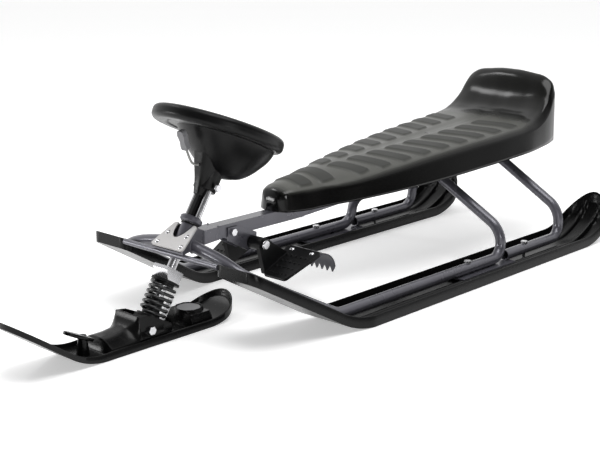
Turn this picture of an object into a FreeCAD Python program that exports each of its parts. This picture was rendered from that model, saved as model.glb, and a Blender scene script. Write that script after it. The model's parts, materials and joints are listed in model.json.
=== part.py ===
"""Steering sled: a bent-tube frame on two channel skis, with a sprung and steered front ski, a moulded
seat, a steering wheel and a two-pedal claw brake. X points forward, Y to the left and Z up, in millimetres."""
import FreeCAD
import Part
import Sketcher
import math
import os

Vector = FreeCAD.Vector
Rotation = FreeCAD.Rotation
Placement = FreeCAD.Placement

document = FreeCAD.newDocument("steering_sled")
sheet = document.addObject("Spreadsheet::Sheet", "sizes")

SIZES = {
    # cuts run past the surface by this much
    "overrun": 6.0,
    "running_clearance": 0.06,
    "weld_gap": 0.2,
    # bent frame tubes
    "tube_diameter": 20.0,
    "tube_wall": 1.8,
    "cross_tube_diameter": 14.0,
    # main beam
    "beam_width": 25.0,
    "beam_height": 22.0,
    "beam_wall": 2.0,
    "beam_axis_height": 146.0,
    "beam_front_station": 284.0,
    "beam_bend_station": 60.0,
    "beam_rear_station": -556.0,
    "beam_bend_radius": 420.0,
    "beam_rise_angle": 3.1,
    "plug_flange": 4.0,
    "plug_depth": 14.0,
    # side skis
    "ski_track": 378.0,
    "ski_width": 101.0,
    "ski_floor": 4.0,
    "ski_wall": 3.6,
    "ski_wall_height": 20.0,
    "ski_bend_station": 115.0,
    "ski_bend_radius": 130.0,
    "ski_nose_angle": 31.0,
    "ski_nose_station": 345.0,
    "ski_nose_track": 302.0,
    "ski_nose_width": 90.0,
    "ski_tail_bend_station": -535.0,
    "ski_tail_bend_radius": 220.0,
    "ski_tail_station": -674.0,
    "ski_groove_width": 9.0,
    "ski_groove_depth": 1.6,
    "ski_groove_spacing": 27.0,
    "ski_rib_width": 5.0,
    "ski_rib_height": 3.0,
    "ski_rib_spacing": 34.0,
    "ski_boss_length": 34.0,
    "ski_boss_width": 28.0,
    # rails, legs and feet
    "foot_plate_thickness": 3.0,
    "foot_plate_width": 40.0,
    "foot_plate_front_station": -174.0,
    "foot_plate_rear_station": -342.0,
    "rail_front_station": 112.0,
    "front_leg_station": -322.0,
    "front_leg_lean": 9.0,
    "front_leg_knee_height": 72.0,
    "front_leg_top_height": 161.0,
    "rear_leg_station": -525.0,
    "rear_leg_lean": 6.0,
    "rear_leg_knee_height": 76.0,
    "rear_leg_top_height": 172.0,
    "leg_knee_inset": 5.0,
    "leg_foot_length": 38.0,
    "foot_bend_radius": 28.0,
    "knee_bend_radius": 46.0,
    "front_bolt_station": -213.0,
    "rear_bolt_station": -400.0,
    "bolt_diameter": 6.0,
    "bolt_head_diameter": 13.0,
    "bolt_head_height": 4.5,
    # bow and nose
    "bow_start_station": 322.0,
    "bow_start_offset": 27.0,
    "bow_height": 140.0,
    "bow_corner_station": 374.0,
    "bow_corner_offset": 132.0,
    "bow_bend_radius": 34.0,
    "bow_slope_bend_radius": 80.0,
    "bow_slope_station": 332.0,
    "bow_clearance": 2.2,
    "cross_tube_station": 357.0,
    "cross_tube_height": 122.7,
    "cross_tube_length": 212.0,
    "nose_sheet": 3.0,
    "nose_rear_station": 252.0,
    "nose_flare_station": 285.0,
    "nose_front_station": 353.0,
    "nose_front_half_width": 37.0,
    "nose_top_station": 309.0,
    "nose_top_height": 168.0,
    "nose_front_height": 139.0,
    "nose_floor_height": 133.0,
    "nose_cover_top_half_width": 26.0,
    "nose_cover_lip": 2.0,
    "nose_cover_corner": 5.0,
    "nose_screw_diameter": 5.0,
    "nose_screw_head_height": 2.2,
    "nose_screw_head_diameter": 9.0,
    # steering axis, measured along the axis from its crossing of the nose top
    "axis_station": 303.0,
    "axis_height": 170.0,
    "axis_rake": 33.0,
    "head_tube_diameter": 26.0,
    "head_tube_bore": 21.0,
    "head_tube_top": -3.0,
    "head_tube_bottom": -54.0,
    "bush_flange_diameter": 29.0,
    "bush_flange": 2.5,
    "bush_depth": 12.0,
    "shaft_diameter": 16.0,
    "shaft_top": 9.0,
    "shaft_bottom": -84.0,
    "collar_diameter": 38.0,
    "collar_bottom": 0.5,
    "collar_height": 11.0,
    "column_tube_diameter": 10.0,
    "column_tube_spacing": 25.0,
    "column_top": 76.0,
    "shroud_depth": 17.0,
    "shroud_thickness": 13.0,
    "shroud_bottom": 13.0,
    "shroud_top": 66.0,
    "shroud_corner": 3.5,
    # steering wheel
    "wheel_station": 236.0,
    "wheel_height": 317.0,
    "wheel_tilt": 24.0,
    "wheel_diameter": 224.0,
    "rim_width": 30.0,
    "rim_height": 24.0,
    "rim_corner": 9.0,
    "dish_thickness": 4.0,
    "dish_drop": 6.0,
    "dish_ring_height": 5.0,
    "funnel_top_radius": 62.0,
    "funnel_offset": 22.0,
    "funnel_middle_radius": 47.0,
    "funnel_bottom_radius": 27.0,
    "funnel_wall": 4.0,
    "funnel_base": 12.0,
    "cap_radius": 40.0,
    "cap_height": 13.0,
    "hub_bolt_along": 68.0,
    # tow handle and cord
    "handle_station": 312.0,
    "handle_height": 310.0,
    "handle_length": 34.0,
    "handle_width": 16.0,
    "handle_thickness": 9.0,
    "handle_tilt": 18.0,
    "handle_corner": 3.6,
    "cord_diameter": 4.0,
    "outlet_height": 264.0,
    # fork, spring and slider, along the axis
    "fork_top": -81.0,
    "fork_bottom": -101.0,
    "fork_sheet": 3.0,
    "fork_half_width": 17.0,
    "fork_front_top": 22.0,
    "fork_front_bottom": 12.0,
    "fork_rear": -15.0,
    "spring_seat_diameter": 48.0,
    "spring_seat_height": 4.0,
    "spring_seat_boss_diameter": 33.0,
    "spring_seat_boss_height": 5.0,
    "spring_diameter": 47.0,
    "spring_wire": 5.4,
    "spring_turns": 6.0,
    "spring_top": -105.0,
    "spring_bottom": -163.0,
    "guide_rod_diameter": 14.0,
    "guide_tube_diameter": 22.0,
    "guide_rod_bottom": -140.0,
    "guide_tube_top": -130.0,
    "blade_width": 12.0,
    "blade_thickness": 2.0,
    "blade_top": -124.0,
    "yoke_width": 29.0,
    "yoke_radius": 10.0,
    "pivot_station": 418.0,
    "pivot_height": 22.0,
    "pivot_diameter": 8.0,
    "pivot_head_diameter": 15.0,
    "pivot_head_height": 5.5,
    # front ski
    "front_ski_floor": 4.0,
    "front_ski_wall": 4.0,
    "front_ski_wall_height": 17.0,
    "front_ski_bend_station": 556.0,
    "front_ski_bend_radius": 105.0,
    "front_ski_tip_angle": 40.0,
    "front_ski_tip_station": 674.0,
    "front_ski_tail_station": 240.0,
    "front_ski_tail_bend_station": 300.0,
    "front_ski_tail_bend_radius": 90.0,
    "front_ski_half_width": 96.0,
    "front_ski_tail_half_width": 86.0,
    "front_ski_widest_station": 538.0,
    "front_ski_groove_width": 12.0,
    "front_ski_groove_depth": 1.6,
    "front_ski_groove_spacing": 46.0,
    "cheek_gap": 31.0,
    "cheek_thickness": 14.0,
    "cheek_top": 40.0,
    "cheek_rear_height": 13.0,
    "cheek_front_station": 447.0,
    "cheek_rear_station": 384.0,
    "buttress_reach": 24.0,
    "buttress_length": 12.0,
    "ridge_front_station": 508.0,
    "ridge_height": 17.0,
    "ridge_half_width": 30.0,
    "hump_front_station": 362.0,
    "hump_rear_station": 266.0,
    "hump_height": 16.0,
    "hump_half_width": 52.0,
    "hump_draft": 9.0,
    "disc_station": 314.0,
    "disc_radius": 41.0,
    "disc_height": 21.0,
    "disc_recess_radius": 19.0,
    "disc_recess_depth": 3.5,
    "disc_cap_height": 2.5,
    "hook_station": 536.0,
    "hook_neck_diameter": 16.0,
    "hook_length": 54.0,
    "hook_width": 30.0,
    "hook_thickness": 6.0,
    "hook_height": 24.0,
    "hook_tilt": 27.0,
    # brake
    "axle_station": 177.0,
    "axle_height": 117.0,
    "axle_diameter": 10.0,
    "axle_length": 100.0,
    "axle_clip_diameter": 16.0,
    "axle_clip_height": 2.5,
    "bracket_sheet": 3.0,
    "bracket_front_station": 231.0,
    "bracket_rear_station": 164.0,
    "bracket_top_height": 151.0,
    "bracket_bottom_height": 104.0,
    "bracket_bolt_station": 220.0,
    "bracket_bolt_height": 142.0,
    "pedal_front_station": 181.0,
    "pedal_front_height": 67.0,
    "pedal_rear_station": 103.0,
    "pedal_rear_height": 100.0,
    "pedal_front_inner": 46.0,
    "pedal_front_outer": 97.0,
    "pedal_rear_inner": 32.0,
    "pedal_rear_outer": 111.0,
    "pedal_thickness": 5.0,
    "pedal_corner": 7.0,
    "pedal_arm_inner": 37.0,
    "pedal_arm_thickness": 9.0,
    "pedal_hub_diameter": 23.0,
    "pedal_hub_inner": 17.5,
    "pedal_hub_outer": 46.0,
    "tread_diameter": 6.0,
    "tread_height": 1.6,
    "claw_thickness": 2.6,
    "claw_tab": 26.0,
    "claw_drop_station": 64.0,
    "claw_drop_height": 56.0,
    "claw_tooth_depth": 11.0,
    "claw_tooth_count": 6.0,
    "claw_margin": 3.0,
    "rivet_diameter": 5.0,
    "rivet_head_diameter": 9.0,
    "rivet_head_height": 2.0,
    "return_spring_wire": 2.4,
    "return_spring_radius": 7.0,
    "return_spring_pitch": 3.2,
    "return_spring_turns": 4.0,
    "return_spring_leg": 9.0,
    # seat
    "seat_front_station": 127.0,
    "seat_length": 755.0,
    "seat_half_width": 130.0,
    "seat_back_rise": 175.0,
    "seat_wall": 4.0,
    "seat_edge_round": 11.0,
    "seat_web": 6.0,
    "seat_pad_height": 2.4,
    "seat_pad_width": 33.0,
    "seat_pad_pitch": 56.0,
    "seat_pad_sweep": 26.0,
    "seat_pad_inner": 13.0,
    "seat_pad_front_station": -46.0,
    "seat_front_pad_station": 24.0,
    "seat_front_pad_pitch": 34.0,
    "seat_front_pad_width": 22.0,
    "seat_bolt_grip": 12.0,
    "seat_boss_diameter": 18.0,
    "seat_boss_height": 24.0,
}

for row, (alias, value) in enumerate(SIZES.items(), start=1):
    sheet.set(f"A{row}", alias)
    sheet.set(f"B{row}", str(value))
    sheet.setAlias(f"B{row}", alias)
document.recompute()


class SheetSizes:
    """The driving dimensions, read back from the sheet by name."""

    def __getattr__(self, alias):
        return float(sheet.get(alias))


size = SheetSizes()
nodes = []


def register(item, label):
    """Gives a finished piece its label and puts it on the list of pieces to write."""
    item.Label = label
    nodes.append(item)
    return item


def feature(label, shape, placement=None):
    """A piece whose shape is worked out here from the sheet."""
    item = document.addObject("Part::Feature", label)
    item.Shape = shape
    if placement is not None:
        item.Placement = placement
    return register(item, label)


def helper(shape):
    """A tool shape used by a document boolean."""
    item = document.addObject("Part::Feature", "tool")
    item.Shape = shape
    return item


def cylinder(label, radius, height, placement):
    """A plain cylinder whose radius and height follow formulas on the sheet."""
    item = document.addObject("Part::Cylinder", label)
    item.setExpression("Radius", radius)
    item.setExpression("Height", height)
    item.Placement = placement
    return item


def mirrored(shape):
    """The same shape on the other side of the sled's middle plane."""
    return shape.mirror(Vector(0, 0, 0), Vector(0, 1, 0))


def sketch_in(body, role, name, offset=None):
    """A sketch on one of the body's own origin planes."""
    plane = next(item for item in body.Origin.OriginFeatures if item.Role == role)
    sketch = body.newObject("Sketcher::SketchObject", name)
    sketch.AttachmentSupport = [(plane, "")]
    sketch.MapMode = "FlatFace"
    if offset is not None:
        sketch.AttachmentOffset = offset
    return sketch


def draw(sketch, points):
    """A closed outline of straight lines through the given points of the sketch plane."""
    count = len(points)
    for index, (across, along) in enumerate(points):
        following = points[(index + 1) % count]
        sketch.addGeometry(Part.LineSegment(Vector(across, along, 0), Vector(following[0], following[1], 0)))
    for index in range(count):
        sketch.addConstraint(Sketcher.Constraint("Coincident", index, 2, (index + 1) % count, 1))


def ring(sketch, inner, outer, bottom, top):
    """A rectangle beside the sketch's upright axis with its four sides bound to formulas on the sheet."""
    draw(sketch, [(1, 0), (2, 0), (2, 1), (1, 1)])
    for index, kind in enumerate(("Horizontal", "Vertical", "Horizontal", "Vertical")):
        sketch.addConstraint(Sketcher.Constraint(kind, index))
    formulas = ((("DistanceX", 0, 1), inner), (("DistanceX", 1, 1), outer),
                (("DistanceY", 0, 1), bottom), (("DistanceY", 2, 1), top))
    for (kind, line, end), formula in formulas:
        index = sketch.addConstraint(Sketcher.Constraint(kind, -1, 1, line, end, 1))
        sketch.setExpression(f"Constraints[{index}]", formula)


def turned(label, points, placement):
    """A turned piece: an outline of radius and height swung round the upright axis."""
    body = document.addObject("PartDesign::Body", label)
    sketch = sketch_in(body, "XZ_Plane", label + "_outline")
    draw(sketch, points)
    turn = body.newObject("PartDesign::Revolution", label + "_turn")
    turn.Profile = sketch
    turn.ReferenceAxis = (sketch, ["V_Axis"])
    turn.Angle = 360
    body.Placement = placement
    return body


def padded(label, role, points, length, placement=None, midplane=True, corner=None):
    """A plate: an outline on an origin plane, thickened by a formula on the sheet."""
    body = document.addObject("PartDesign::Body", label)
    sketch = sketch_in(body, role, label + "_outline")
    draw(sketch, points)
    pad = body.newObject("PartDesign::Pad", label + "_pad")
    pad.Profile = sketch
    pad.setExpression("Length", length)
    pad.Midplane = midplane
    if corner is not None:
        document.recompute()
        rounding = body.newObject("PartDesign::Fillet", label + "_round")
        rounding.Base = (pad, corner[1](pad.Shape))
        rounding.setExpression("Radius", corner[0])
    if placement is not None:
        body.Placement = placement
    return body


def edges_along(direction):
    """A picker of the straight edges that run along a direction."""
    def pick(shape):
        names = []
        for index, edge in enumerate(shape.Edges, start=1):
            if edge.Curve.TypeId == "Part::GeomLine":
                if abs(edge.Curve.Direction.dot(direction)) > math.cos(math.radians(1)):
                    names.append(f"Edge{index}")
        return names
    return pick


def polygon_prism(points, direction):
    """A prism on a closed outline of points in space."""
    wire = Part.makePolygon(list(points) + [points[0]])
    return Part.Face(wire).extrude(direction)


def upright(points, bottom, top):
    """A prism on a plan outline between two heights."""
    return polygon_prism([Vector(across, along, bottom) for across, along in points], Vector(0, 0, top - bottom))


def sideways(points, right, left):
    """A prism on a side outline between two distances from the middle plane."""
    return polygon_prism([Vector(along, right, height) for along, height in points], Vector(0, left - right, 0))


def arc_between(start, corner, end):
    """The arc that touches both sides of a corner at equal distances from it."""
    middle = (start + end) * 0.5
    half_chord = (end - start).Length * 0.5
    turn = (corner - start).getAngle(end - corner)
    apex = middle + (corner - middle).normalize() * half_chord * math.tan(turn * 0.25)
    return Part.Arc(start, apex, end).toShape()


def bent_path(points, radii):
    """Straight runs joined by tangent arcs, one radius for each inner point."""
    edges = []
    start = points[0]
    for index, radius in enumerate(radii, start=1):
        corner = points[index]
        before = (points[index - 1] - corner).normalize()
        after = (points[index + 1] - corner).normalize()
        reach = radius * math.tan((math.pi - before.getAngle(after)) * 0.5)
        entry = corner + before * reach
        leave = corner + after * reach
        edges.append(Part.makeLine(start, entry))
        edges.append(arc_between(entry, corner, leave))
        start = leave
    edges.append(Part.makeLine(start, points[-1]))
    return Part.Wire(edges)


def round_along(path, radius):
    """A round bar along a path."""
    first = path.Edges[0]
    start = first.valueAt(first.FirstParameter)
    tangent = first.tangentAt(first.FirstParameter)
    profile = Part.Wire(Part.makeCircle(radius, start, tangent))
    return path.makePipeShell([profile], True, False)


def hollow_tube(path, radius):
    """A tube along a path, open at both ends."""
    bar = round_along(path, radius)
    return bar.cut(round_along(path, radius - size.tube_wall))


def biarc(start, start_way, end, end_way):
    """Two arcs that leave one point and reach another in the given directions."""
    span = end - start
    both = start_way + end_way
    spread = 1 - start_way.dot(end_way)
    if spread * spread < 1e-12:
        reach = span.Length * 0.25
    else:
        along = span.dot(both)
        reach = (math.sqrt(along * along + 2 * spread * span.dot(span)) - along) / (2 * spread)
    first_corner = start + start_way * reach
    second_corner = end - end_way * reach
    middle = (first_corner + second_corner) * 0.5
    return [arc_between(start, first_corner, middle), arc_between(middle, second_corner, end)]


def axis_place(along=0.0, forward=0.0):
    """A place on the steering axis: local Z runs up the axis and local X points forward."""
    rake = math.radians(size.axis_rake)
    base = Vector(size.axis_station - along * math.sin(rake) + forward * math.cos(rake), 0,
                  size.axis_height + along * math.cos(rake) + forward * math.sin(rake))
    return Placement(base, Rotation(Vector(0, 1, 0), -size.axis_rake))


def across_place(station, height, offset=0.0):
    """A place whose local Z points to the left."""
    return Placement(Vector(station, offset, height), Rotation(Vector(1, 0, 0), -90))


def beam_top(station):
    """Height of the beam's upper face at a station."""
    behind = max(size.beam_bend_station - station, 0)
    return size.beam_axis_height + size.beam_height * 0.5 + behind * math.tan(math.radians(size.beam_rise_angle))


# Side skis: a curved band, an outer plan and an inner plan meet in each channel.

class SkiForm:
    """The long curve of a ski: flat, with a bend up to a straight nose and a bend up to the tail."""

    def __init__(self, nose, bend, radius, angle, tail, tail_bend, tail_radius):
        self.nose = nose
        self.bend = bend
        self.radius = radius
        self.angle = math.radians(angle)
        self.tail = tail
        self.tail_bend = tail_bend
        self.tail_radius = tail_radius
        self.tail_angle = math.asin((tail_bend - tail) / tail_radius)

    def height(self, station):
        """Height of the underside at a station."""
        if station < self.tail_bend:
            run = min(self.tail_bend - station, self.tail_radius)
            return self.tail_radius - math.sqrt(self.tail_radius ** 2 - run ** 2)
        if station <= self.bend:
            return 0.0
        bend_end = self.bend + self.radius * math.sin(self.angle)
        if station < bend_end:
            return self.radius - math.sqrt(self.radius ** 2 - (station - self.bend) ** 2)
        return self.radius * (1 - math.cos(self.angle)) + (station - bend_end) * math.tan(self.angle)

    def curve(self, rise, grow):
        """The edges from tail to nose at a distance above the underside, run on past the ends by grow."""
        tail_arm = self.tail_radius - rise
        tail_end = Vector(self.tail_bend - tail_arm * math.sin(self.tail_angle), 0,
                          self.tail_radius - tail_arm * math.cos(self.tail_angle))
        tail_middle = Vector(self.tail_bend - tail_arm * math.sin(self.tail_angle * 0.5), 0,
                             self.tail_radius - tail_arm * math.cos(self.tail_angle * 0.5))
        tail_way = Vector(-math.cos(self.tail_angle), 0, math.sin(self.tail_angle))
        arm = self.radius - rise
        nose_way = Vector(math.cos(self.angle), 0, math.sin(self.angle))
        bend_end = Vector(self.bend + arm * math.sin(self.angle), 0, self.radius - arm * math.cos(self.angle))
        bend_middle = Vector(self.bend + arm * math.sin(self.angle * 0.5), 0,
                             self.radius - arm * math.cos(self.angle * 0.5))
        run = (self.nose - self.bend - self.radius * math.sin(self.angle)) / math.cos(self.angle)
        points = [tail_end + tail_way * grow, tail_end, Vector(self.tail_bend, 0, rise),
                  Vector(self.bend, 0, rise), bend_end, bend_end + nose_way * (run + grow)]
        edges = [Part.Arc(points[1], tail_middle, points[2]).toShape(), Part.makeLine(points[2], points[3]),
                 Part.Arc(points[3], bend_middle, points[4]).toShape(), Part.makeLine(points[4], points[5])]
        if grow > 0:
            edges.insert(0, Part.makeLine(points[0], points[1]))
        return edges, points[0], points[5]

    def band(self, low, high, grow, right, left):
        """The solid between two distances above the underside and two distances from the middle plane."""
        lower, lower_tail, lower_nose = self.curve(low, grow)
        upper, upper_tail, upper_nose = self.curve(high, grow)
        edges = lower + [Part.makeLine(lower_nose, upper_nose)] + upper + [Part.makeLine(upper_tail, lower_tail)]
        face = Part.Face(Part.Wire(Part.__sortEdges__(edges)))
        face.translate(Vector(0, right, 0))
        return face.extrude(Vector(0, left - right, 0))


side_form = SkiForm(size.ski_nose_station, size.ski_bend_station, size.ski_bend_radius, size.ski_nose_angle,
                    size.ski_tail_station, size.ski_tail_bend_station, size.ski_tail_bend_radius)
sky = size.ski_tail_bend_radius


def ski_plan(inset, grow, inner_share=-1.0, outer_share=1.0):
    """The plan of the left ski, drawn in by inset and run on past the nose by grow."""
    middle = size.ski_track * 0.5
    nose_middle = size.ski_nose_track * 0.5
    half = size.ski_width * 0.5 - inset
    nose_half = size.ski_nose_width * 0.5 - inset
    tail_round = size.ski_tail_station + size.ski_width * 0.5
    lean = (nose_middle - middle) / (size.ski_nose_station - size.ski_bend_station)
    taper = (nose_half - half) / (size.ski_nose_station - size.ski_bend_station)
    nose = size.ski_nose_station + grow
    past = nose - size.ski_bend_station
    nose_sides = [middle + lean * past + share * (half + taper * past) for share in (inner_share, outer_share)]
    sides = [middle + share * half for share in (inner_share, outer_share)]
    points = [Vector(tail_round, sides[0], 0), Vector(size.ski_bend_station, sides[0], 0),
              Vector(nose, nose_sides[0], 0), Vector(nose, nose_sides[1], 0),
              Vector(size.ski_bend_station, sides[1], 0), Vector(tail_round, sides[1], 0)]
    edges = [Part.makeLine(points[index], points[index + 1]) for index in range(len(points) - 1)]
    tip = Vector(tail_round - half, middle, 0)
    edges.append(Part.Arc(points[-1], tip, points[0]).toShape())
    plan = Part.Face(Part.Wire(edges))
    plan.translate(Vector(0, 0, -size.overrun))
    return plan.extrude(Vector(0, 0, sky))


def strip_plan(offset, width, tail_station, grow):
    """A plan strip that follows the left ski's middle line at a distance to one side."""
    nose = size.ski_nose_station + grow
    shift = (size.ski_track - size.ski_nose_track) * 0.5 * (nose - size.ski_bend_station)
    shift = shift / (size.ski_nose_station - size.ski_bend_station)
    low = size.ski_track * 0.5 + offset - width * 0.5
    high = low + width
    return upright([(tail_station, low), (size.ski_bend_station, low), (nose, low - shift),
                    (nose, high - shift), (size.ski_bend_station, high), (tail_station, high)],
                   -size.overrun, sky)


def left_side_ski():
    """The left ski: a channel with a round tail, ribs on its floor and grooves in its running face."""
    left = size.ski_track
    over = size.overrun
    inner_bend = size.ski_tail_station + size.ski_width * 0.5
    channel = side_form.band(0, size.ski_wall_height, over + over, 0, left).common(ski_plan(0, 0))
    hollow = side_form.band(size.ski_floor, size.ski_wall_height + sky * 0.25, over * 4, 0, left)
    channel = channel.cut(hollow.common(ski_plan(size.ski_wall, over + over)))
    rib_band = side_form.band(size.ski_floor * 0.5, size.ski_floor + size.ski_rib_height, over + over, 0, left)
    groove_band = side_form.band(-over, size.ski_groove_depth, over, 0, left)
    for side in (-1, 1):
        strip = strip_plan(side * size.ski_rib_spacing * 0.5, size.ski_rib_width, inner_bend - over, 0)
        channel = channel.fuse(rib_band.common(strip))
    for step in (-1, 0, 1):
        strip = strip_plan(step * size.ski_groove_spacing, size.ski_groove_width, inner_bend, over + over)
        channel = channel.cut(groove_band.common(strip))
    seat_height = size.ski_floor + size.ski_rib_height + size.foot_plate_thickness
    boss = Part.makeBox(size.ski_boss_length, size.ski_boss_width, seat_height - size.ski_groove_depth,
                        Vector(size.rear_bolt_station - size.ski_boss_length * 0.5,
                               (size.ski_track - size.ski_boss_width) * 0.5, size.ski_groove_depth))
    channel = channel.fuse(boss)
    for station in (size.front_bolt_station, size.rear_bolt_station):
        hole = Part.makeCylinder(size.bolt_diameter * 0.5, sky, Vector(station, left * 0.5, size.ski_groove_depth))
        channel = channel.cut(hole)
    return channel.removeSplitter()


left_ski_shape = left_side_ski()
feature("left_ski", left_ski_shape)
feature("right_ski", mirrored(left_ski_shape))

# Rails, legs, feet and bow tubes of the frame.

tube_radius = size.tube_diameter * 0.5
rail_height = size.ski_floor + size.ski_rib_height + size.foot_plate_thickness + tube_radius
rail_offset = size.ski_track * 0.5


def bolt_holes(shape):
    """Clears the two ski bolts through a tube or plate."""
    for station in (size.front_bolt_station, size.rear_bolt_station):
        reach = Vector(station, rail_offset, size.ski_floor)
        shape = shape.cut(Part.makeCylinder(size.bolt_diameter * 0.5, sky, reach))
    return shape


def beam_side_cut(shape):
    """Trims a leg flush with the side of the beam."""
    side = size.beam_width * 0.5
    block = Part.makeBox(size.seat_length, side + size.tube_diameter, sky,
                         Vector(size.ski_tail_station, -size.tube_diameter, size.tube_diameter))
    return shape.cut(block)


def leg_shape(foot_start, station, lean, knee_height, top_height):
    """One left leg: along the ski, up at the foot, over at the knee and in to the beam."""
    knee_offset = rail_offset - size.leg_knee_inset
    points = [Vector(foot_start, rail_offset, rail_height), Vector(station, rail_offset, rail_height),
              Vector(station, knee_offset, knee_height), Vector(station - lean, size.beam_width * 0.5, top_height)]
    inward = (points[3] - points[2]).normalize()
    points[3] = points[3] + inward * size.tube_diameter
    path = bent_path(points, [size.foot_bend_radius, size.knee_bend_radius])
    return bolt_holes(beam_side_cut(hollow_tube(path, tube_radius)))


front_foot_start = size.front_leg_station + size.leg_foot_length
rear_foot_start = size.front_leg_station - tube_radius - size.weld_gap
front_leg = leg_shape(front_foot_start, size.front_leg_station, size.front_leg_lean,
                      size.front_leg_knee_height, size.front_leg_top_height)
rear_leg = leg_shape(rear_foot_start, size.rear_leg_station, size.rear_leg_lean,
                     size.rear_leg_knee_height, size.rear_leg_top_height)
rail_path = Part.Wire([Part.makeLine(Vector(size.rail_front_station, rail_offset, rail_height),
                                     Vector(front_foot_start, rail_offset, rail_height))])
rail = bolt_holes(hollow_tube(rail_path, tube_radius))


def bow_shape():
    """The left bow tube: out from the nose, back into the ski's nose and down its slope to the rail."""
    lift = rail_height
    slope = size.bow_slope_station
    share = (slope - size.ski_bend_station) / (size.ski_nose_station - size.ski_bend_station)
    slope_offset = rail_offset - (size.ski_track - size.ski_nose_track) * 0.5 * share
    bend = size.ski_bend_station + size.ski_bend_radius * math.tan(math.radians(size.ski_nose_angle * 0.5))
    rise = (size.ski_floor + tube_radius + size.bow_clearance) / math.cos(math.radians(size.ski_nose_angle))
    start = Vector(size.bow_start_station, size.bow_start_offset, size.bow_height)
    corner = Vector(size.bow_corner_station, size.bow_corner_offset, size.bow_height)
    points = [start + (start - corner).normalize() * tube_radius, corner,
              Vector(slope, slope_offset, side_form.height(slope) + rise),
              Vector(bend, rail_offset, lift),
              Vector(size.rail_front_station, rail_offset, lift)]
    radii = [size.bow_bend_radius, size.bow_slope_bend_radius, size.bow_slope_bend_radius]
    half_plan = nose_plan(0)
    whole_plan = half_plan + [(along, -across) for along, across in half_plan[::-1]]
    nose_block = upright(whole_plan, 0, sky)
    return hollow_tube(bent_path(points, radii), tube_radius).cut(nose_block)


def nose_plan(inset):
    """Half plan of the folded nose, drawn in by inset."""
    side = size.beam_width * 0.5 + size.nose_sheet - inset
    front = size.nose_front_half_width - inset
    return [(size.nose_rear_station, side), (size.nose_flare_station, side), (size.nose_front_station, front)]


bow = bow_shape()
foot_plate = Part.makeBox(size.foot_plate_front_station - size.foot_plate_rear_station, size.foot_plate_width,
                          size.foot_plate_thickness,
                          Vector(size.foot_plate_rear_station, rail_offset - size.foot_plate_width * 0.5,
                                 size.ski_floor + size.ski_rib_height))
foot_plate = bolt_holes(foot_plate)
for name, shape in (("rail", rail), ("front_leg", front_leg), ("rear_leg", rear_leg), ("bow_tube", bow),
                    ("foot_plate", foot_plate)):
    feature("left_" + name, shape)
    feature("right_" + name, mirrored(shape))


def bolt_shape(base, way, length, diameter, head_diameter, head_height):
    """A hexagon-headed bolt: shank back along its way from under the head."""
    head_points = []
    across = Vector(0, 0, 1).cross(way)
    if across.Length < 0.5:
        across = Vector(1, 0, 0)
    across.normalize()
    beside = way.cross(across)
    for step in range(6):
        turn = math.radians(60 * step)
        arm = across * math.cos(turn) + beside * math.sin(turn)
        head_points.append(base + arm * head_diameter * 0.5)
    head = polygon_prism(head_points, way * head_height)
    shank = Part.makeCylinder(diameter * 0.5, length, base - way * length, way)
    return head.fuse(shank).removeSplitter()


ski_bolts = []
bolt_base = rail_height + tube_radius
for station in (size.front_bolt_station, size.rear_bolt_station):
    shape = bolt_shape(Vector(station, rail_offset, bolt_base), Vector(0, 0, 1), bolt_base - size.ski_groove_depth,
                       size.bolt_diameter, size.bolt_head_diameter, size.bolt_head_height)
    ski_bolts.append(shape)
    ski_bolts.append(mirrored(shape))
feature("ski_bolts", Part.makeCompound(ski_bolts))

# Main beam: a square tube with one gentle bend under the seat.

beam = document.addObject("PartDesign::Body", "beam_tube")
beam_path = sketch_in(beam, "XZ_Plane", "beam_path")
rise = math.radians(size.beam_rise_angle)
bend_reach = size.beam_bend_radius * math.tan(rise * 0.5)
axis_height = size.beam_axis_height
bend_points = [Vector(size.beam_front_station, axis_height, 0),
               Vector(size.beam_bend_station + bend_reach, axis_height, 0),
               Vector(size.beam_bend_station - bend_reach * math.cos(rise),
                      axis_height + bend_reach * math.sin(rise), 0),
               Vector(size.beam_rear_station,
                      axis_height + (size.beam_bend_station - size.beam_rear_station) * math.tan(rise), 0)]
bend_corner = Vector(size.beam_bend_station, axis_height, 0)
bend_arc = arc_between(bend_points[1], bend_corner, bend_points[2])
beam_path.addGeometry(Part.LineSegment(bend_points[0], bend_points[1]))
beam_path.addGeometry(Part.Arc(bend_points[1], bend_arc.valueAt(bend_arc.FirstParameter * 0.5
                                                                + bend_arc.LastParameter * 0.5), bend_points[2]))
beam_path.addGeometry(Part.LineSegment(bend_points[2], bend_points[3]))
beam_section = sketch_in(beam, "YZ_Plane", "beam_section",
                         Placement(Vector(0, 0, size.beam_front_station), Rotation()))
half_width = size.beam_width * 0.5
half_height = size.beam_height * 0.5
wall = size.beam_wall
draw(beam_section, [(-half_width, axis_height - half_height), (half_width, axis_height - half_height),
                    (half_width, axis_height + half_height), (-half_width, axis_height + half_height)])
inner_section = sketch_in(beam, "YZ_Plane", "beam_bore",
                          Placement(Vector(0, 0, size.beam_front_station), Rotation()))
draw(inner_section, [(wall - half_width, axis_height - half_height + wall),
                     (half_width - wall, axis_height - half_height + wall),
                     (half_width - wall, axis_height + half_height - wall),
                     (wall - half_width, axis_height + half_height - wall)])
document.recompute()
beam_sweep = beam.newObject("PartDesign::AdditivePipe", "beam_sweep")
beam_sweep.Profile = beam_section
beam_sweep.Spine = (beam_path, ["Edge1", "Edge2", "Edge3"])
document.recompute()
beam_bore = beam.newObject("PartDesign::SubtractivePipe", "beam_bore_sweep")
beam_bore.Profile = inner_section
beam_bore.Spine = (beam_path, ["Edge1", "Edge2", "Edge3"])
document.recompute()


def seat_bolt_stations():
    """Stations of the bolts that hold the seat to the beam."""
    return [size.seat_front_station - size.seat_length * share for share in (0.12, 0.6, 0.87)]


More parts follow.
